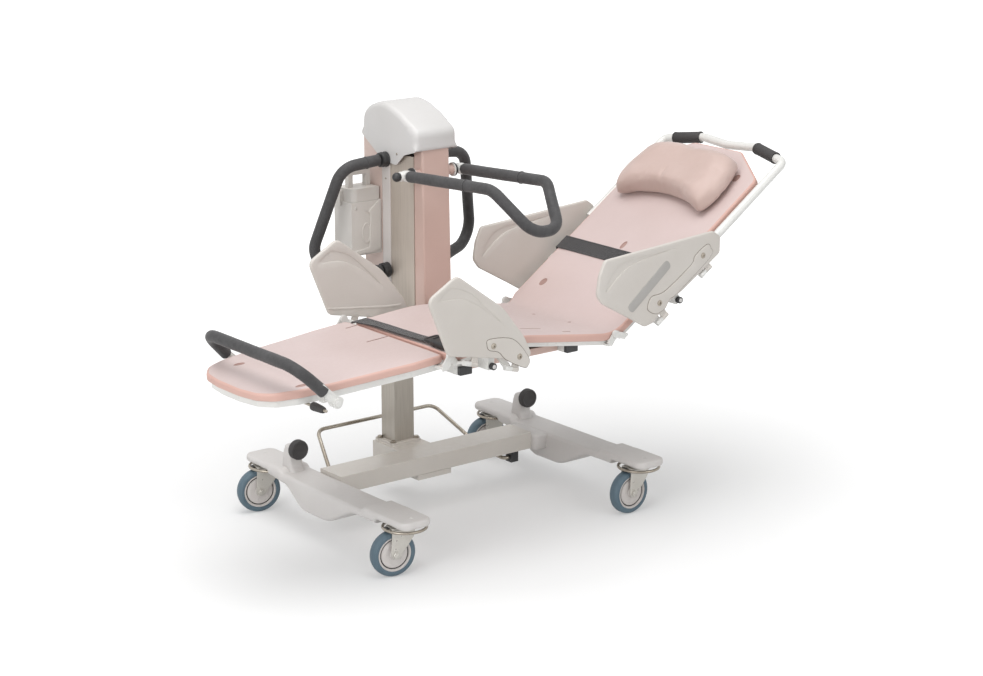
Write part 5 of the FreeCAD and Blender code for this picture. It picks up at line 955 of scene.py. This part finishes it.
def make_foams():
    bm = bmesh.new()
    for side in (-1, 1):
        path = handle_path(side)
        tube(bm, WORLD, trimmed(path, 23, 23), GRIP_RADIUS, 0.5)
        ring_on(bm, WORLD, path, 0.13, GRIP_RADIUS, 2.0, 1.3)
    sleeve = piece("push_sleeves", bm, "foam", "lift", 40, ("push_grips",))

    bm = bmesh.new()
    path = rail_path()
    tube(bm, WORLD, trimmed(path, 18, 18), FOAM_RADIUS, 0.5)
    for share in (0.235, 0.765):
        ring_on(bm, WORLD, path, share, FOAM_RADIUS, 2.2, 1.7)
    sleeve = piece("rail_sleeve", bm, "foam", "rail", 40, ("grab_rail_foam",))

    bm = bmesh.new()
    tube(bm, LEG, trimmed(foot_path(), 40, 40), FOAM_RADIUS, 0.6)
    sleeve = piece("foot_sleeve", bm, "foam", "foot_rail", 40, ("foot_bar_foam",))

    bm = bmesh.new()
    for side in (-1, 1):
        outer, inner = Vector((724, 246 * side, -18)), Vector((757, 106 * side, -18))
        run = (inner - outer).normalized()
        at = facing(BACK, outer + run * 38.5, run)
        profile = [(0, 13), (0, 16.2), (0.9, 17.2), (5, 17.4), (6, 16.2)]
        profile += [(8 + 80 * i / 20, 16.4 + (0.5 if i % 2 else 0.0)) for i in range(21)]
        profile += [(90, 16.2), (91, 17.4), (95.1, 17.2), (96, 16.2), (96, 13)]
        lathe(bm, profile, at, 36, closed=True)
    grips = piece("head_sleeves", bm, "rubber", "back", 40, ("head_grips",))


def make_rail_fittings():
    """Ball end, dark collars and white end plugs of the grab rail."""
    bm = bmesh.new()
    at = facing(WORLD, (0, RAIL_Y, RAIL_Z), X_AXIS)
    ball = [(-133.2, 0.0)] + [(-120 - 13 * math.cos(a), 13 * math.sin(a)) for a in (0.35, 0.7, 1.05, 1.4, 1.75, 2.1)]
    lathe(bm, ball + [(-111, 9.5), (-111, 8.0)], at, 32)
    for start in (67.2, -73.4):
        lathe(bm, [(start, 11.2), (start, 18), (start + 0.8, 19.3), (start + 5.6, 19.3), (start + 6.4, 18),
                   (start + 6.4, 11.2)], at, 36, closed=True)
    piece("rail_collars", bm, "black_plastic", "rail")
    bm = bmesh.new()
    lathe(bm, [(-111, 9), (-111, 11.6), (-108.5, 13.6), (-106, 13.6), (-104.5, 12)], at, 32)
    for side in (-1, 1):
        fitting = facing(WORLD, (RAIL_X * side, RAIL_Y, RAIL_Z), (0, -380, 22))
        lathe(bm, [(-13, 0), (-13, 9), (-11, 12.2), (-6, 14.6), (4, 15.8), (13, 15.9), (17, 15.2), (18, 13)],
              fitting, 36)
    piece("rail_elbows", bm, "white_paint", "rail")


# Castors.

TYRE = [(-13, 46.6), (-15.4, 47.4), (-16.2, 50), (-16, 53), (-14.8, 55.4), (-15, 56), (-13.6, 58.6), (-10, 61.2),
        (-5, 62.35), (0, 62.5), (5, 62.35), (10, 61.2), (13.6, 58.6), (15, 56), (14.8, 55.4), (16, 53), (16.2, 50),
        (15.4, 47.4), (13, 46.6)]
HUB_SIDE = [(16, 6.3), (16, 10.5), (15, 12.4), (12.4, 13.6), (12.2, 16), (12.9, 25), (12.5, 33), (11.4, 37.4),
            (9.6, 38.4), (9.6, 40.6), (12.6, 41.4), (14.6, 43.2), (15, 45.2), (14.2, 47.0)]


def make_castors():
    for name, x, y, turn in CASTORS:
        base = WORLD @ Matrix.Translation((x, y, 0)) @ Matrix.Rotation(math.radians(turn), 4, "Z")
        axle = facing(base, (AXLE_X, 0, AXLE_Z), Y_AXIS)
        bm = bmesh.new()
        lathe(bm, TYRE, axle, 72, closed=True)
        piece(f"tyre_{name}", bm, "tyre", f"roller_{name}", replaces=(f"wheel_{name}",))
        bm = bmesh.new()
        lathe(bm, [(-a, r) for a, r in HUB_SIDE[::-1]] + HUB_SIDE, axle, 60, closed=True)
        for step in range(5):
            turn_by = 2 * math.pi * step / 5
            for side in (-1, 1):
                spot = Vector((26 * math.cos(turn_by), 26 * math.sin(turn_by), 12.0 * side))
                lathe(bm, [(0, 3.2), (1.6, 2.8), (1.9, 1.8), (1.9, 0)],
                      facing(axle, spot, (0, 0, side)), 16)
        piece(f"hub_{name}", bm, "ivory", f"roller_{name}")
        bm = bmesh.new()
        for side in (-1, 1):
            lathe(bm, [(9.4 * side, 38.2), (11.2 * side, 38.6), (11.2 * side, 40.4), (9.4 * side, 40.8)], axle, 60,
                  closed=True)
        piece(f"hub_ring_{name}", bm, "rubber", f"roller_{name}")
        make_fork(name, base)


def make_fork(name, base):
    bm = bmesh.new()
    outline = rounded([(-46, 133), (-47, 104), (-50, 62), (-45, 51), (-27, 51), (-18, 62), (17, 108), (21, 133)],
                      [5, 30, 12, 12, 12, 14, 22, 5], 6)
    for side in (-1, 1):
        slab(bm, respaced(outline, 6), edge_profile(3, 1.1, 0.6, 3), side_plane(base, 22 * side, side), step=12.0)
        boss = facing(base, (AXLE_X, 21.8 * side, AXLE_Z), (0, side, 0))
        lathe(bm, [(0, 12), (1.4, 11.4), (1.4, 0)], boss, 28)
        nut = facing(base, (AXLE_X, 23 * side, AXLE_Z), (0, side, 0))
        lathe(bm, [(0, 8.6), (3.4, 8.6), (4.2, 7.6), (4.2, 0)], nut, 6)
        lathe(bm, [(4.1, 4.0), (5.4, 3.6), (5.8, 2.6), (5.8, 0)], nut, 20)
    crown = rounded([(-46, -22), (21, -22), (21, 22), (-46, 22)], [7, 16, 16, 7], 6)
    slab(bm, respaced(crown, 6), edge_profile(6, 2.2, 0.8, 3), floor_plane(base, 135), step=12.0)
    lathe(bm, [(134.5, 29), (135.4, 30), (136.2, 30), (136.8, 28.6), (137.2, 28.6), (137.6, 29.6), (138.9, 29.4),
               (139.5, 27), (139.5, 0)], base, 44)
    lathe(bm, [(139.2, 9.8), (153, 9.8), (154, 8.4), (154, 0)], base, 28)
    piece(f"fork_body_{name}", bm, "zinc", f"castor_{name}", replaces=(f"fork_{name}",))
    bm = bmesh.new()
    block = rounded([(-56.5, 127.5), (-46.6, 127.5), (-46.6, 134.8), (-56.5, 134.8)], 2, 3)
    slab(bm, block, edge_profile(19, 1, 1, 2), side_plane(base, 9.5, 1), step=8.0)
    piece(f"brake_block_{name}", bm, "black_plastic", f"brake_{name}")


# Base and column details.

def make_base_details():
    bm = bmesh.new()
    for x in (FOOT_X, HEAD_X):
        at = facing(WORLD, (x, 185, 213), (0, -1, 0))
        lathe(bm, [(0, 22), (0, 27), (1.6, 28), (15, 28), (18.6, 26.8), (20, 24.4), (19.7, 22.6), (18.3, 21.4),
                   (17.9, 14), (18.0, 0)], at, 48)
    piece("buffer_discs", bm, "rubber", "base", replaces=("rubber_buffers",))
    bm = bmesh.new()
    for x in (-41, 41):
        for y in (187, 252):
            at = WORLD @ Matrix.Translation((x, y, 166))
            lathe(bm, [(0, 8.0), (0, 9.2), (0.5, 9.6), (1.6, 9.6), (1.9, 9.0), (1.9, 0)], at, 32)
            lathe(bm, [(1.8, 7.4), (5.4, 7.4), (6.2, 6.6), (6.2, 0)], at, 6)
    piece("mast_bolt_heads", bm, "wire", "base", replaces=("mast_bolts",))
    bm = bmesh.new()
    for x in (FOOT_X, HEAD_X):
        for y in (-350, 350):
            at = WORLD @ Matrix.Translation((x, y, 159.9))
            lathe(bm, [(0, 6.5), (0.8, 6.2), (0.9, 3), (0.2, 2.4), (0.2, 0)], at, 24)
    piece("leg_plugs", bm, "leg_shell", "base")


LEG_TOP_STEPS = [(-LEG_END, 160), (-205, 160), (-190, 150), (190, 150), (205, 160), (LEG_END, 160)]
LEG_LOW_STEPS = [(-LEG_END, 140), (-262, 140), (-254, 128), (-175, 128), (-7, 68), (77, 68), (185, 122), (254, 128),
                 (262, 140), (LEG_END, 140)]


def eased(steps, y):
    """Height at y along a stepped line whose steps are eased."""
    for (y1, z1), (y2, z2) in zip(steps, steps[1:]):
        if y <= y2:
            return z1 + (z2 - z1) * smooth((y - y1) / (y2 - y1))
    return steps[-1][1]


def leg_ring(y):
    """Section of a cross leg: a rounded box that narrows and softens at both ends."""
    end = LEG_END - abs(y)
    round_end = 26 - math.sqrt(max(0.0, 26 ** 2 - (26 - min(end, 26)) ** 2))
    soft = 5 - math.sqrt(max(0.0, 5 ** 2 - (5 - min(end, 5)) ** 2))
    half, low, top = 50 - round_end, eased(LEG_LOW_STEPS, y) + soft, eased(LEG_TOP_STEPS, y) - soft
    bend = min(11.0, (top - low) * 0.42)
    spots = []
    for x_side, z_side in ((1, 1), (-1, 1), (-1, -1), (1, -1)):
        x, z = x_side * (half - bend), (top - bend) if z_side > 0 else (low + bend)
        start = {(1, 1): 0, (-1, 1): 90, (-1, -1): 180, (1, -1): 270}[x_side, z_side]
        for step in range(6):
            turn = math.radians(start + 18 * step)
            spots.append((x + bend * math.cos(turn), z + bend * math.sin(turn)))
    return spots


def make_legs():
    stations = [-LEG_END + 26 * (1 - math.cos(math.radians(90 * i / 7))) for i in range(8)]
    stations += [-350 + 5 * i for i in range(141)]
    stations += [-y for y in stations[7::-1]]
    for word, x in (("foot", FOOT_X), ("head", HEAD_X)):
        bm = bmesh.new()
        rings = [[bm.verts.new(WORLD @ Vector((x + a, y, z))) for a, z in leg_ring(y)] for y in stations]
        close_rings(bm, rings)
        post = rounded([(158, 138), (250, 138), (232, 156), (222, 205), (214, 224), (196, 228), (186, 224),
                        (185, 160)], [4, 4, 26, 20, 12, 8, 8, 30], 6)
        slab(bm, respaced(post, 6), edge_profile(44, 9, 9, 4),
             plane_of(WORLD, (x + 22, 0, 0), Y_AXIS, Z_AXIS, X_AXIS), step=12.0)
        if word == "head":
            flare = rounded([(349, 26), (400, 26), (400, 160), (349, 160)], [16, 2, 2, 16], 6)
            slab(bm, respaced(flare, 7), edge_profile(46, 7, 5, 4), floor_plane(WORLD, 150))
        replaced = ("leg_covers",) if word == "foot" else ()
        piece(f"cross_leg_{word}", bm, "leg_shell", "base", replaces=replaced)


def make_cap():
    """Domed shell over the column's head, open below."""
    corners = [(24, 1033), (24, 1086), (54, 1103), (96, 1126), (150, 1147), (192, 1153), (248, 1135), (275, 1112),
               (282, 1054), (205, 1006), (172, 990), (116, 984), (80, 1017)]
    radii = [10, 70, 90, 120, 120, 120, 90, 90, 18, 40, 60, 22, 30]
    outline = anticlockwise(respaced(rounded(corners, radii, 7), 5.0))

    def upper(p):
        return p.y > 1035 if p.x < 100 else p.y > 1052 + (p.x - 282) * 0.1
    share = [smooth((p.y - (1030 if p.x < 100 else 1050)) / 26) * (1.0 if p.x > 60 else 1.5) for p in outline]
    closed = [upper(a) or upper(b) for a, b in zip(outline, outline[1:] + outline[:1])]
    drawn = [p + (q - p) * s for p, q, s in zip(outline, inset(outline, 16), share)]
    bm = bmesh.new()
    rings = []
    for side in (-1, 1):
        turns = [math.pi / 2 * i / 5 for i in range(6)]
        for turn in (turns if side < 0 else turns[::-1]):
            ring = [d + (p - d) * math.sin(turn) for p, d in zip(outline, drawn)]
            x = side * (CAP_HALF - 16 * (1 - math.cos(turn)))
            rings.append([bm.verts.new(WORLD @ Vector((x, p.x, p.y))) for p in ring])
    for low, high in zip(rings, rings[1:]):
        for index in range(len(outline)):
            after = (index + 1) % len(outline)
            if closed[index]:
                add_face(bm, [low[index], low[after], high[after], high[index]])
    for ring, side in ((rings[0], -1), (rings[-1], 1)):
        fill_ring(bm, drawn, ring, lambda p: WORLD @ Vector((CAP_HALF * side, p.x, p.y)), 12.0)
    for vert in [v for v in bm.verts if not v.link_faces]:
        bm.verts.remove(vert)
    cap = piece("column_cap", bm, "cap", "lift", replaces=("head_cap",))
    wall = cap.modifiers.new("wall", "SOLIDIFY")
    wall.thickness = 2.2 * MM
    wall.offset = -1


def make_column_details():
    bm = bmesh.new()
    for side in (-1, 1):
        screw(bm, facing(WORLD, (70.7 * side, 112, 1016), (side, 0, 0)), 3.4, 1.8)
        for z in (590, 940):
            screw(bm, facing(WORLD, (68.9 * side, 168, z), (side, 0, 0)), 3.0, 1.6)
    piece("cover_screws", bm, "wire", "lift")
    bm = bmesh.new()
    for side in (-1, 1):
        for level, start in ((HANDLE_TOP, 71.3), (HANDLE_LOW, 69)):
            at = facing(WORLD, ((start + 0.1) * side, HANDLE_Y, level), (side, 0, 0))
            lathe(bm, [(0, 19), (0.3, 21.4), (3, 21.4), (3.8, 20.3), (19, 20.3), (21.6, 19), (22.2, 17.2),
                       (22.2, 15)], at, 40)
            lathe(bm, [(12, 20.2), (12.4, 20.9), (14.6, 20.9), (15, 20.2)], at, 40)
    piece("cup_rings", bm, "black_plastic", "lift")


def make_column_webs():
    """Smooth side skins between the sleeve's corner and the front cover, closed above by the cap."""
    bm = bmesh.new()
    skin = [(65.6, 151), (65.0, 143), (62.4, 128), (58.2, 108), (53.4, 88), (49.4, 74), (48.2, 66.4)]
    skin += [(x - 2.4, y) for x, y in skin[::-1]]
    for side in (-1, 1):
        rings = [[bm.verts.new(WORLD @ Vector((x * side, y, z))) for x, y in skin]
                 for z in [572 + 25 * step for step in range(18)] + [1012]]
        close_rings(bm, rings)
    piece("column_webs", bm, "sleeve", "lift", 40)


def make_battery_details():
    """Swing bracket with a shallow field and one screw, before the battery and its holder."""
    out = -69 - 101
    front = side_plane(WORLD, 190, -1)
    bm = bmesh.new()
    arm = rounded([(out + 40, 858), (out + 56, 850), (out + 97, 884), (out + 97, 740), (out + 70, 732),
                   (out + 6, 732), (out + 6, 742), (out + 58, 748), (out + 62, 842)],
                  [6, 4, 4, 4, 8, 3, 3, 10, 12], 5)
    slab(bm, respaced(arm, 5), edge_profile(3, 1.2, 0.4, 3), raised(front, 3), step=12.0)
    recess = ellipse(out + 50, 790, 16, 30, 32)
    slab(bm, respaced(recess, 5), edge_profile(1.4, 0.8, 0.2, 3), raised(front, 1.3), None,
         [(ellipse(out + 50, 790, 11, 24, 28), 1.0, 0, 0.6)], 8.0)
    screw(bm, facing(WORLD, (out + 14, 189.8, 862), (0, -1, 0)), 4.5, 2.2)
    piece("battery_bracket", bm, "battery", "lift")


# Side panels.

def shares_to_mm(shares, low_a, low_b, long, tall):
    return [(low_a + long * a, low_b + tall * b) for a, b in shares]


BACK_SHARES = [(0.179, 1.0), (0.973, 0.254), (1.0, 0.143), (0.937, 0.0), (0.555, 0.027), (0.409, 0.064),
               (0.249, 0.024), (0.182, 0.066), (0.129, 0.248), (0.004, 0.654), (0.0, 0.776), (0.088, 0.917)]
SEAT_SHARES = [(0.277, 1.0), (0.0, 0.807), (0.190, 0.248), (0.705, 0.124), (0.931, 0.0), (1.0, 0.12),
               (0.928, 0.296), (0.72, 0.613)]
SEAT_LEAF = [(-366.6, 762), (-334, 789), (-309, 788), (-264, 769), (-214, 726), (-158, 667), (-214, 711),
             (-258, 740), (-302, 757)]
BACK_LEAF = [(183, 701), (213, 757), (264, 779), (363, 784), (450, 790), (370, 778), (279, 763), (231, 738)]
SEAT_PLATE = [(-214, 624), (-206, 638), (-130, 626), (-79, 570), (-81, 548), (-97, 547), (-152, 576),
              (-176, 600), (-206, 610)]
BACK_PLATE = [(338, 627), (332, 640), (346, 665), (394, 674), (487, 732), (502, 756), (544, 781), (558, 771),
              (556, 744), (438, 662), (411, 650), (395, 627), (364, 616)]


def world_to_back(x, z):
    """Back section coordinates (u, w) of a point of the side view."""
    along, up = x - HIP.x, z - HIP.z
    cos, sin = math.cos(BACK_TILT), math.sin(BACK_TILT)
    return along * cos + up * sin, -along * sin + up * cos


def make_panel(kind, word):
    side = -1 if word == "near" else 1
    body = f"{kind}_panel_{word}"
    if kind == "back":
        place, middle = BACK, 0
        outline = shares_to_mm(BACK_SHARES, -7, -49, 421, 267)
        leaf = [world_to_back(*spot) for spot in BACK_LEAF]
        plate = [world_to_back(*spot) for spot in BACK_PLATE]
        radii = [16, 14, 14, 16, 40, 30, 20, 20, 60, 30, 26, 40]
    else:
        place, middle = WORLD, BED_Y
        outline = shares_to_mm(SEAT_SHARES, -399, 546, 332, 274)
        leaf, plate = SEAT_LEAF, SEAT_PLATE
        radii = [26, 26, 24, 30, 12, 14, 60, 120]
    face = middle + (FAR_PANEL_FACE if side > 0 else NEAR_PANEL_FACE)
    bm = bmesh.new()
    outline = anticlockwise([Vector(p) for p in rounded(outline, radii, 8)])
    space = side_plane(place, face, -1)
    leaf_loop = respaced(flowing(leaf, 6), 5.0)
    slab(bm, respaced(outline, 7), edge_profile(12, 4.5, 4.5), space,
         lambda a, b: 0.3 * noise.noise(Vector((a, b, side)) * 0.012),
         [(leaf_loop, 1.7 if side < 0 else 2.6, 0, 1.8)], 15.0)
    if side > 0 and kind == "seat":
        ridge = rounded([(-344, 636), (-338, 630), (-150, 606), (-104, 604), (-96, 610), (-150, 613)], 2.5, 3)
        slab(bm, respaced(ridge, 5), edge_profile(2.4, 1.8, 0.2, 3), raised(space, 1.7), step=9.0)
    piece(body + "_shell", bm, "panel", body, replaces=(body,))
    add_knuckles(kind, side, place, middle, body)
    if word == "near":
        add_mount(kind, plate, space, place, face, body)


def add_knuckles(kind, side, place, middle, body):
    """Hinge barrels between the frame's own, with a web up into the panel."""
    bm = bmesh.new()
    v = middle + KNUCKLE_Y * side
    if kind == "back":
        start, run, firsts, high = Vector((0, v, BACK_HINGE_W)), Vector(X_AXIS), (108, 300), 31
    else:
        start, firsts, high = Vector((SEAT_HINGE_X, v, SEAT_HINGE_Z)), (52, 190), 44
        run = Vector((math.cos(SEAT_HINGE_TILT), 0, -math.sin(SEAT_HINGE_TILT)))
    up = Vector((-run.z, 0, run.x))
    for first in firsts:
        spot = start + run * (first + 22.4)
        lathe(bm, [(0, 3.2), (0, 6.2), (0.8, 7), (20.8, 7), (21.6, 6.2), (21.6, 3.2)], facing(place, spot, run), 28,
              closed=True)
        web = plane_of(place, spot, run, up, Y_AXIS)
        slab(bm, rounded([(0.5, 3.5), (21, 3.5), (21, high), (0.5, high)], 2, 3), edge_profile(6, 1, 1, 2),
             raised(web, 3), step=12.0)
    piece(body + "_knuckles", bm, "panel", body)


def add_mount(kind, plate, space, place, face, body):
    """Bolted mount plate on a near panel, with the thin dark joint round it."""
    loop = anticlockwise([Vector(p) for p in flowing(plate, 5)])
    bm = bmesh.new()
    slab(bm, respaced(inset(loop, -1.4), 5), edge_profile(1.0, 0.3, 0.2, 2), raised(space, 0.45), step=12.0)
    piece(body + "_joint_line", bm, "gap_line", body)
    bm = bmesh.new()
    slab(bm, respaced(loop, 5), edge_profile(2.0, 0.9, 0.2, 3), raised(space, 1.6), step=12.0)
    piece(body + "_mount", bm, "panel", body)
    bolts = ((-194, 619), (-109, 577)) if kind == "seat" else (
        world_to_back(530, 753), world_to_back(374, 644))
    bm = bmesh.new()
    for a, b in bolts:
        at = facing(place, (a, face - 1.5, b), (0, -1, 0))
        screw(bm, at, 6.4, 3.2)
        lathe(bm, [(0, 8.4), (0.7, 8.2), (0.7, 6)], at, 28)
    piece(body + "_bolts", bm, "wire", body)
    if kind == "back":
        (a1, b1), (a2, b2) = world_to_back(278, 648.5), world_to_back(396, 742)
        middle = Vector(((a1 + a2) / 2, (b1 + b2) / 2))
        long = (Vector((a2, b2)) - Vector((a1, b1))).length / 2
        turn = math.atan2(b2 - b1, a2 - a1)
        pill = []
        for spot in oblong(0, 0, long + 14, 14):
            pill.append(middle + Vector((spot.x * math.cos(turn) - spot.y * math.sin(turn),
                                         spot.x * math.sin(turn) + spot.y * math.cos(turn))))
        bm = bmesh.new()
        slab(bm, pill, edge_profile(1.4, 0.7, 0.2, 3), raised(space, 0.9), step=10.0)
        piece(body + "_pill", bm, "pill", body)


def make_knobs():
    for word, side in (("near", -1), ("far", 1)):
        for kind in ("seat", "back"):
            if kind == "seat":
                place, y = WORLD, BED_Y
                along = SEAT_HINGE_X + SEAT_KNOB_ALONG * math.cos(SEAT_HINGE_TILT)
                level = SEAT_HINGE_Z - SEAT_KNOB_ALONG * math.sin(SEAT_HINGE_TILT)
            else:
                place, y, along, level = BACK, 0, BACK_KNOB_U, BACK_HINGE_W
            body = f"{kind}_knob_{word}"
            at = facing(place, (along, y + KNOB_FACE * side, level), (0, side, 0))
            bm = bmesh.new()
            lathe(bm, [(-19, 0), (-19, 3.4), (-18, 4), (0.5, 4), (0.5, 8), (1.5, 9), (3, 9.2)] +
                  [(3.5 + i * 0.9, 9.2 - (0.35 if i % 2 else 0.0)) for i in range(9)] +
                  [(11.6, 9.2), (13, 8.6), (13.6, 7.2), (13.2, 5.6)], at, 36)
            piece(body + "_grip", bm, "black_plastic", body, replaces=(body,))
            bm = bmesh.new()
            lathe(bm, [(13.0, 5.7), (14.0, 5.3), (14.5, 4.2), (14.6, 0)], at, 32)
            piece(body + "_cap", bm, "cap", body)


# Foot end.

def make_foot_end():
    bm = bmesh.new()
    place = facing(LEG, (RELEASE_U, 0, RELEASE_W), Y_AXIS)
    lathe(bm, [(-250, 0), (-250, 3.2), (-248.6, 4), (248.6, 4), (250, 3.2), (250, 0)], place, 24)
    cam = rounded([(RELEASE_U, -12), (-369, -12), (-369, 12), (RELEASE_U, 12)], 3, 4)
    slab(bm, cam, edge_profile(6, 1, 1, 2), raised(leg_space, -41), step=8.0)
    piece("release_rod", bm, "wire", "release", replaces=("release_bar",))
    bm = bmesh.new()
    for side in (-1, 1):
        lathe(bm, [(side * a, r) for a, r in ((190, 4.1), (190, 9.8), (192, 11), (198, 11.2), (228, 9.4), (236, 8.2),
                                              (239, 7.0), (239, 4.1))], place, 32, closed=True)
    piece("release_grips", bm, "rubber", "release")
    bm = bmesh.new()
    for side in (-1, 1):
        outline = rounded([(-338, -52), (-326, -30), (-344, -20), (-368, 4), (-384, 22), (-392, 14), (-368, -42)],
                          [10, 12, 16, 30, 6, 6, 16], 6)
        slab(bm, respaced(outline, 5), edge_profile(5, 1.6, 0.8, 3),
             side_plane(LEG, 230 * side, -side), None,
             [(respaced(rounded([(-352, -34), (-348, -28), (-368, -6), (-370, -12)], 3, 4), 3), 1.6, 0, 0.7)], 9.0)
    piece("foot_brackets", bm, "white_paint", "foot_rail")


# Stage, light and camera.

def make_stage():
    floor_shade = Shade("floor")
    tree = floor_shade.tree
    tree.nodes.remove(floor_shade.surface)
    out = tree.nodes["Material Output"]
    tone = floor_shade.blend(floor_shade.noise(3.0), (0.86, 0.86, 0.86, 1), (0.89, 0.89, 0.89, 1))
    diffuse = floor_shade.add("ShaderNodeBsdfDiffuse", {"Color": tone}).outputs[0]
    reach = floor_shade.add("ShaderNodeVectorMath", {0: floor_shade.coords}, operation="LENGTH").outputs["Value"]
    fade = floor_shade.remap(reach, 0.30, 1.0, 0.6, 3.2)
    glow = floor_shade.add("ShaderNodeEmission", {"Color": (1, 1, 1, 1), "Strength": fade}).outputs[0]
    seen = floor_shade.add("ShaderNodeBsdfDiffuse", {"Color": (0.62, 0.62, 0.62, 1)}).outputs[0]
    bright = floor_shade.add("ShaderNodeAddShader", {0: seen, 1: glow}).outputs[0]
    mix = floor_shade.add("ShaderNodeMixShader", {0: floor_shade.eye(), 1: diffuse, 2: bright}).outputs[0]
    tree.links.new(mix, out.inputs["Surface"])
    bm = bmesh.new()
    bmesh.ops.create_grid(bm, x_segments=8, y_segments=8, size=60)
    mesh = bpy.data.meshes.new("floor")
    bm.to_mesh(mesh)
    bm.free()
    mesh.materials.append(floor_shade.material)
    floor = add_object("floor", mesh)

    world = bpy.context.scene.world or bpy.data.worlds.new("sky")
    bpy.context.scene.world = world
    world.use_nodes = True
    sky = Nodes(world.node_tree)
    for node in list(sky.tree.nodes):
        sky.tree.nodes.remove(node)
    dim, clear = [sky.add("ShaderNodeBackground", {"Color": (1, 1, 1, 1), "Strength": strength}).outputs[0]
                  for strength in (0.42, 1.0)]
    mix = sky.add("ShaderNodeMixShader", {0: sky.eye(), 1: dim, 2: clear}).outputs[0]
    sky.add("ShaderNodeOutputWorld", {"Surface": mix})


def aim(thing, direction):
    thing.rotation_mode = "QUATERNION"
    thing.rotation_quaternion = direction.to_track_quat("-Z", "Y")


def make_lamp(name, spot, size, power):
    data = bpy.data.lights.new(name, "AREA")
    data.shape = "SQUARE"
    data.size = size
    data.energy = power
    lamp = add_object(name, data)
    lamp.location = spot
    aim(lamp, Vector((0, 0, 0.5)) - Vector(spot))


def make_camera():
    data = bpy.data.cameras.new("camera")
    sensor, focal_pixels, picture_width = 36, 2300, 983
    data.sensor_width = sensor
    data.lens = focal_pixels / picture_width * sensor
    data.clip_start, data.clip_end = 0.05, 200
    camera = add_object("camera", data)
    turn, rise = math.radians(-38.05), math.radians(15.05)
    back = Vector((math.sin(turn) * math.cos(rise), -math.cos(turn) * math.cos(rise), math.sin(rise)))
    middle, distance = Vector((0.124, -0.058, 0.5)), 6.398
    camera.location = middle + SHIFT + back * distance
    aim(camera, -back)
    bpy.context.scene.camera = camera


make_camera()
make_bed_mat()
make_leg_mat()
make_pillow()
make_straps()
make_foams()
make_rail_fittings()
make_castors()
make_base_details()
make_legs()
make_cap()
make_column_details()
make_column_webs()
make_battery_details()
for panel_kind in ("seat", "back"):
    for panel_word in ("near", "far"):
        make_panel(panel_kind, panel_word)
make_knobs()
make_foot_end()
for node_name, edge in SOFT_EDGES.items():
    soften(node_name, edge)
make_stage()
make_lamp("top_light", (-0.6, -0.4, 4.2), 3.2, 105)
make_lamp("left_light", (-4.2, -1.6, 2.2), 2.4, 72)
make_lamp("front_light", (1.6, -5.0, 2.4), 3.0, 46)

settings = bpy.context.scene.view_settings
settings.view_transform = "Standard"
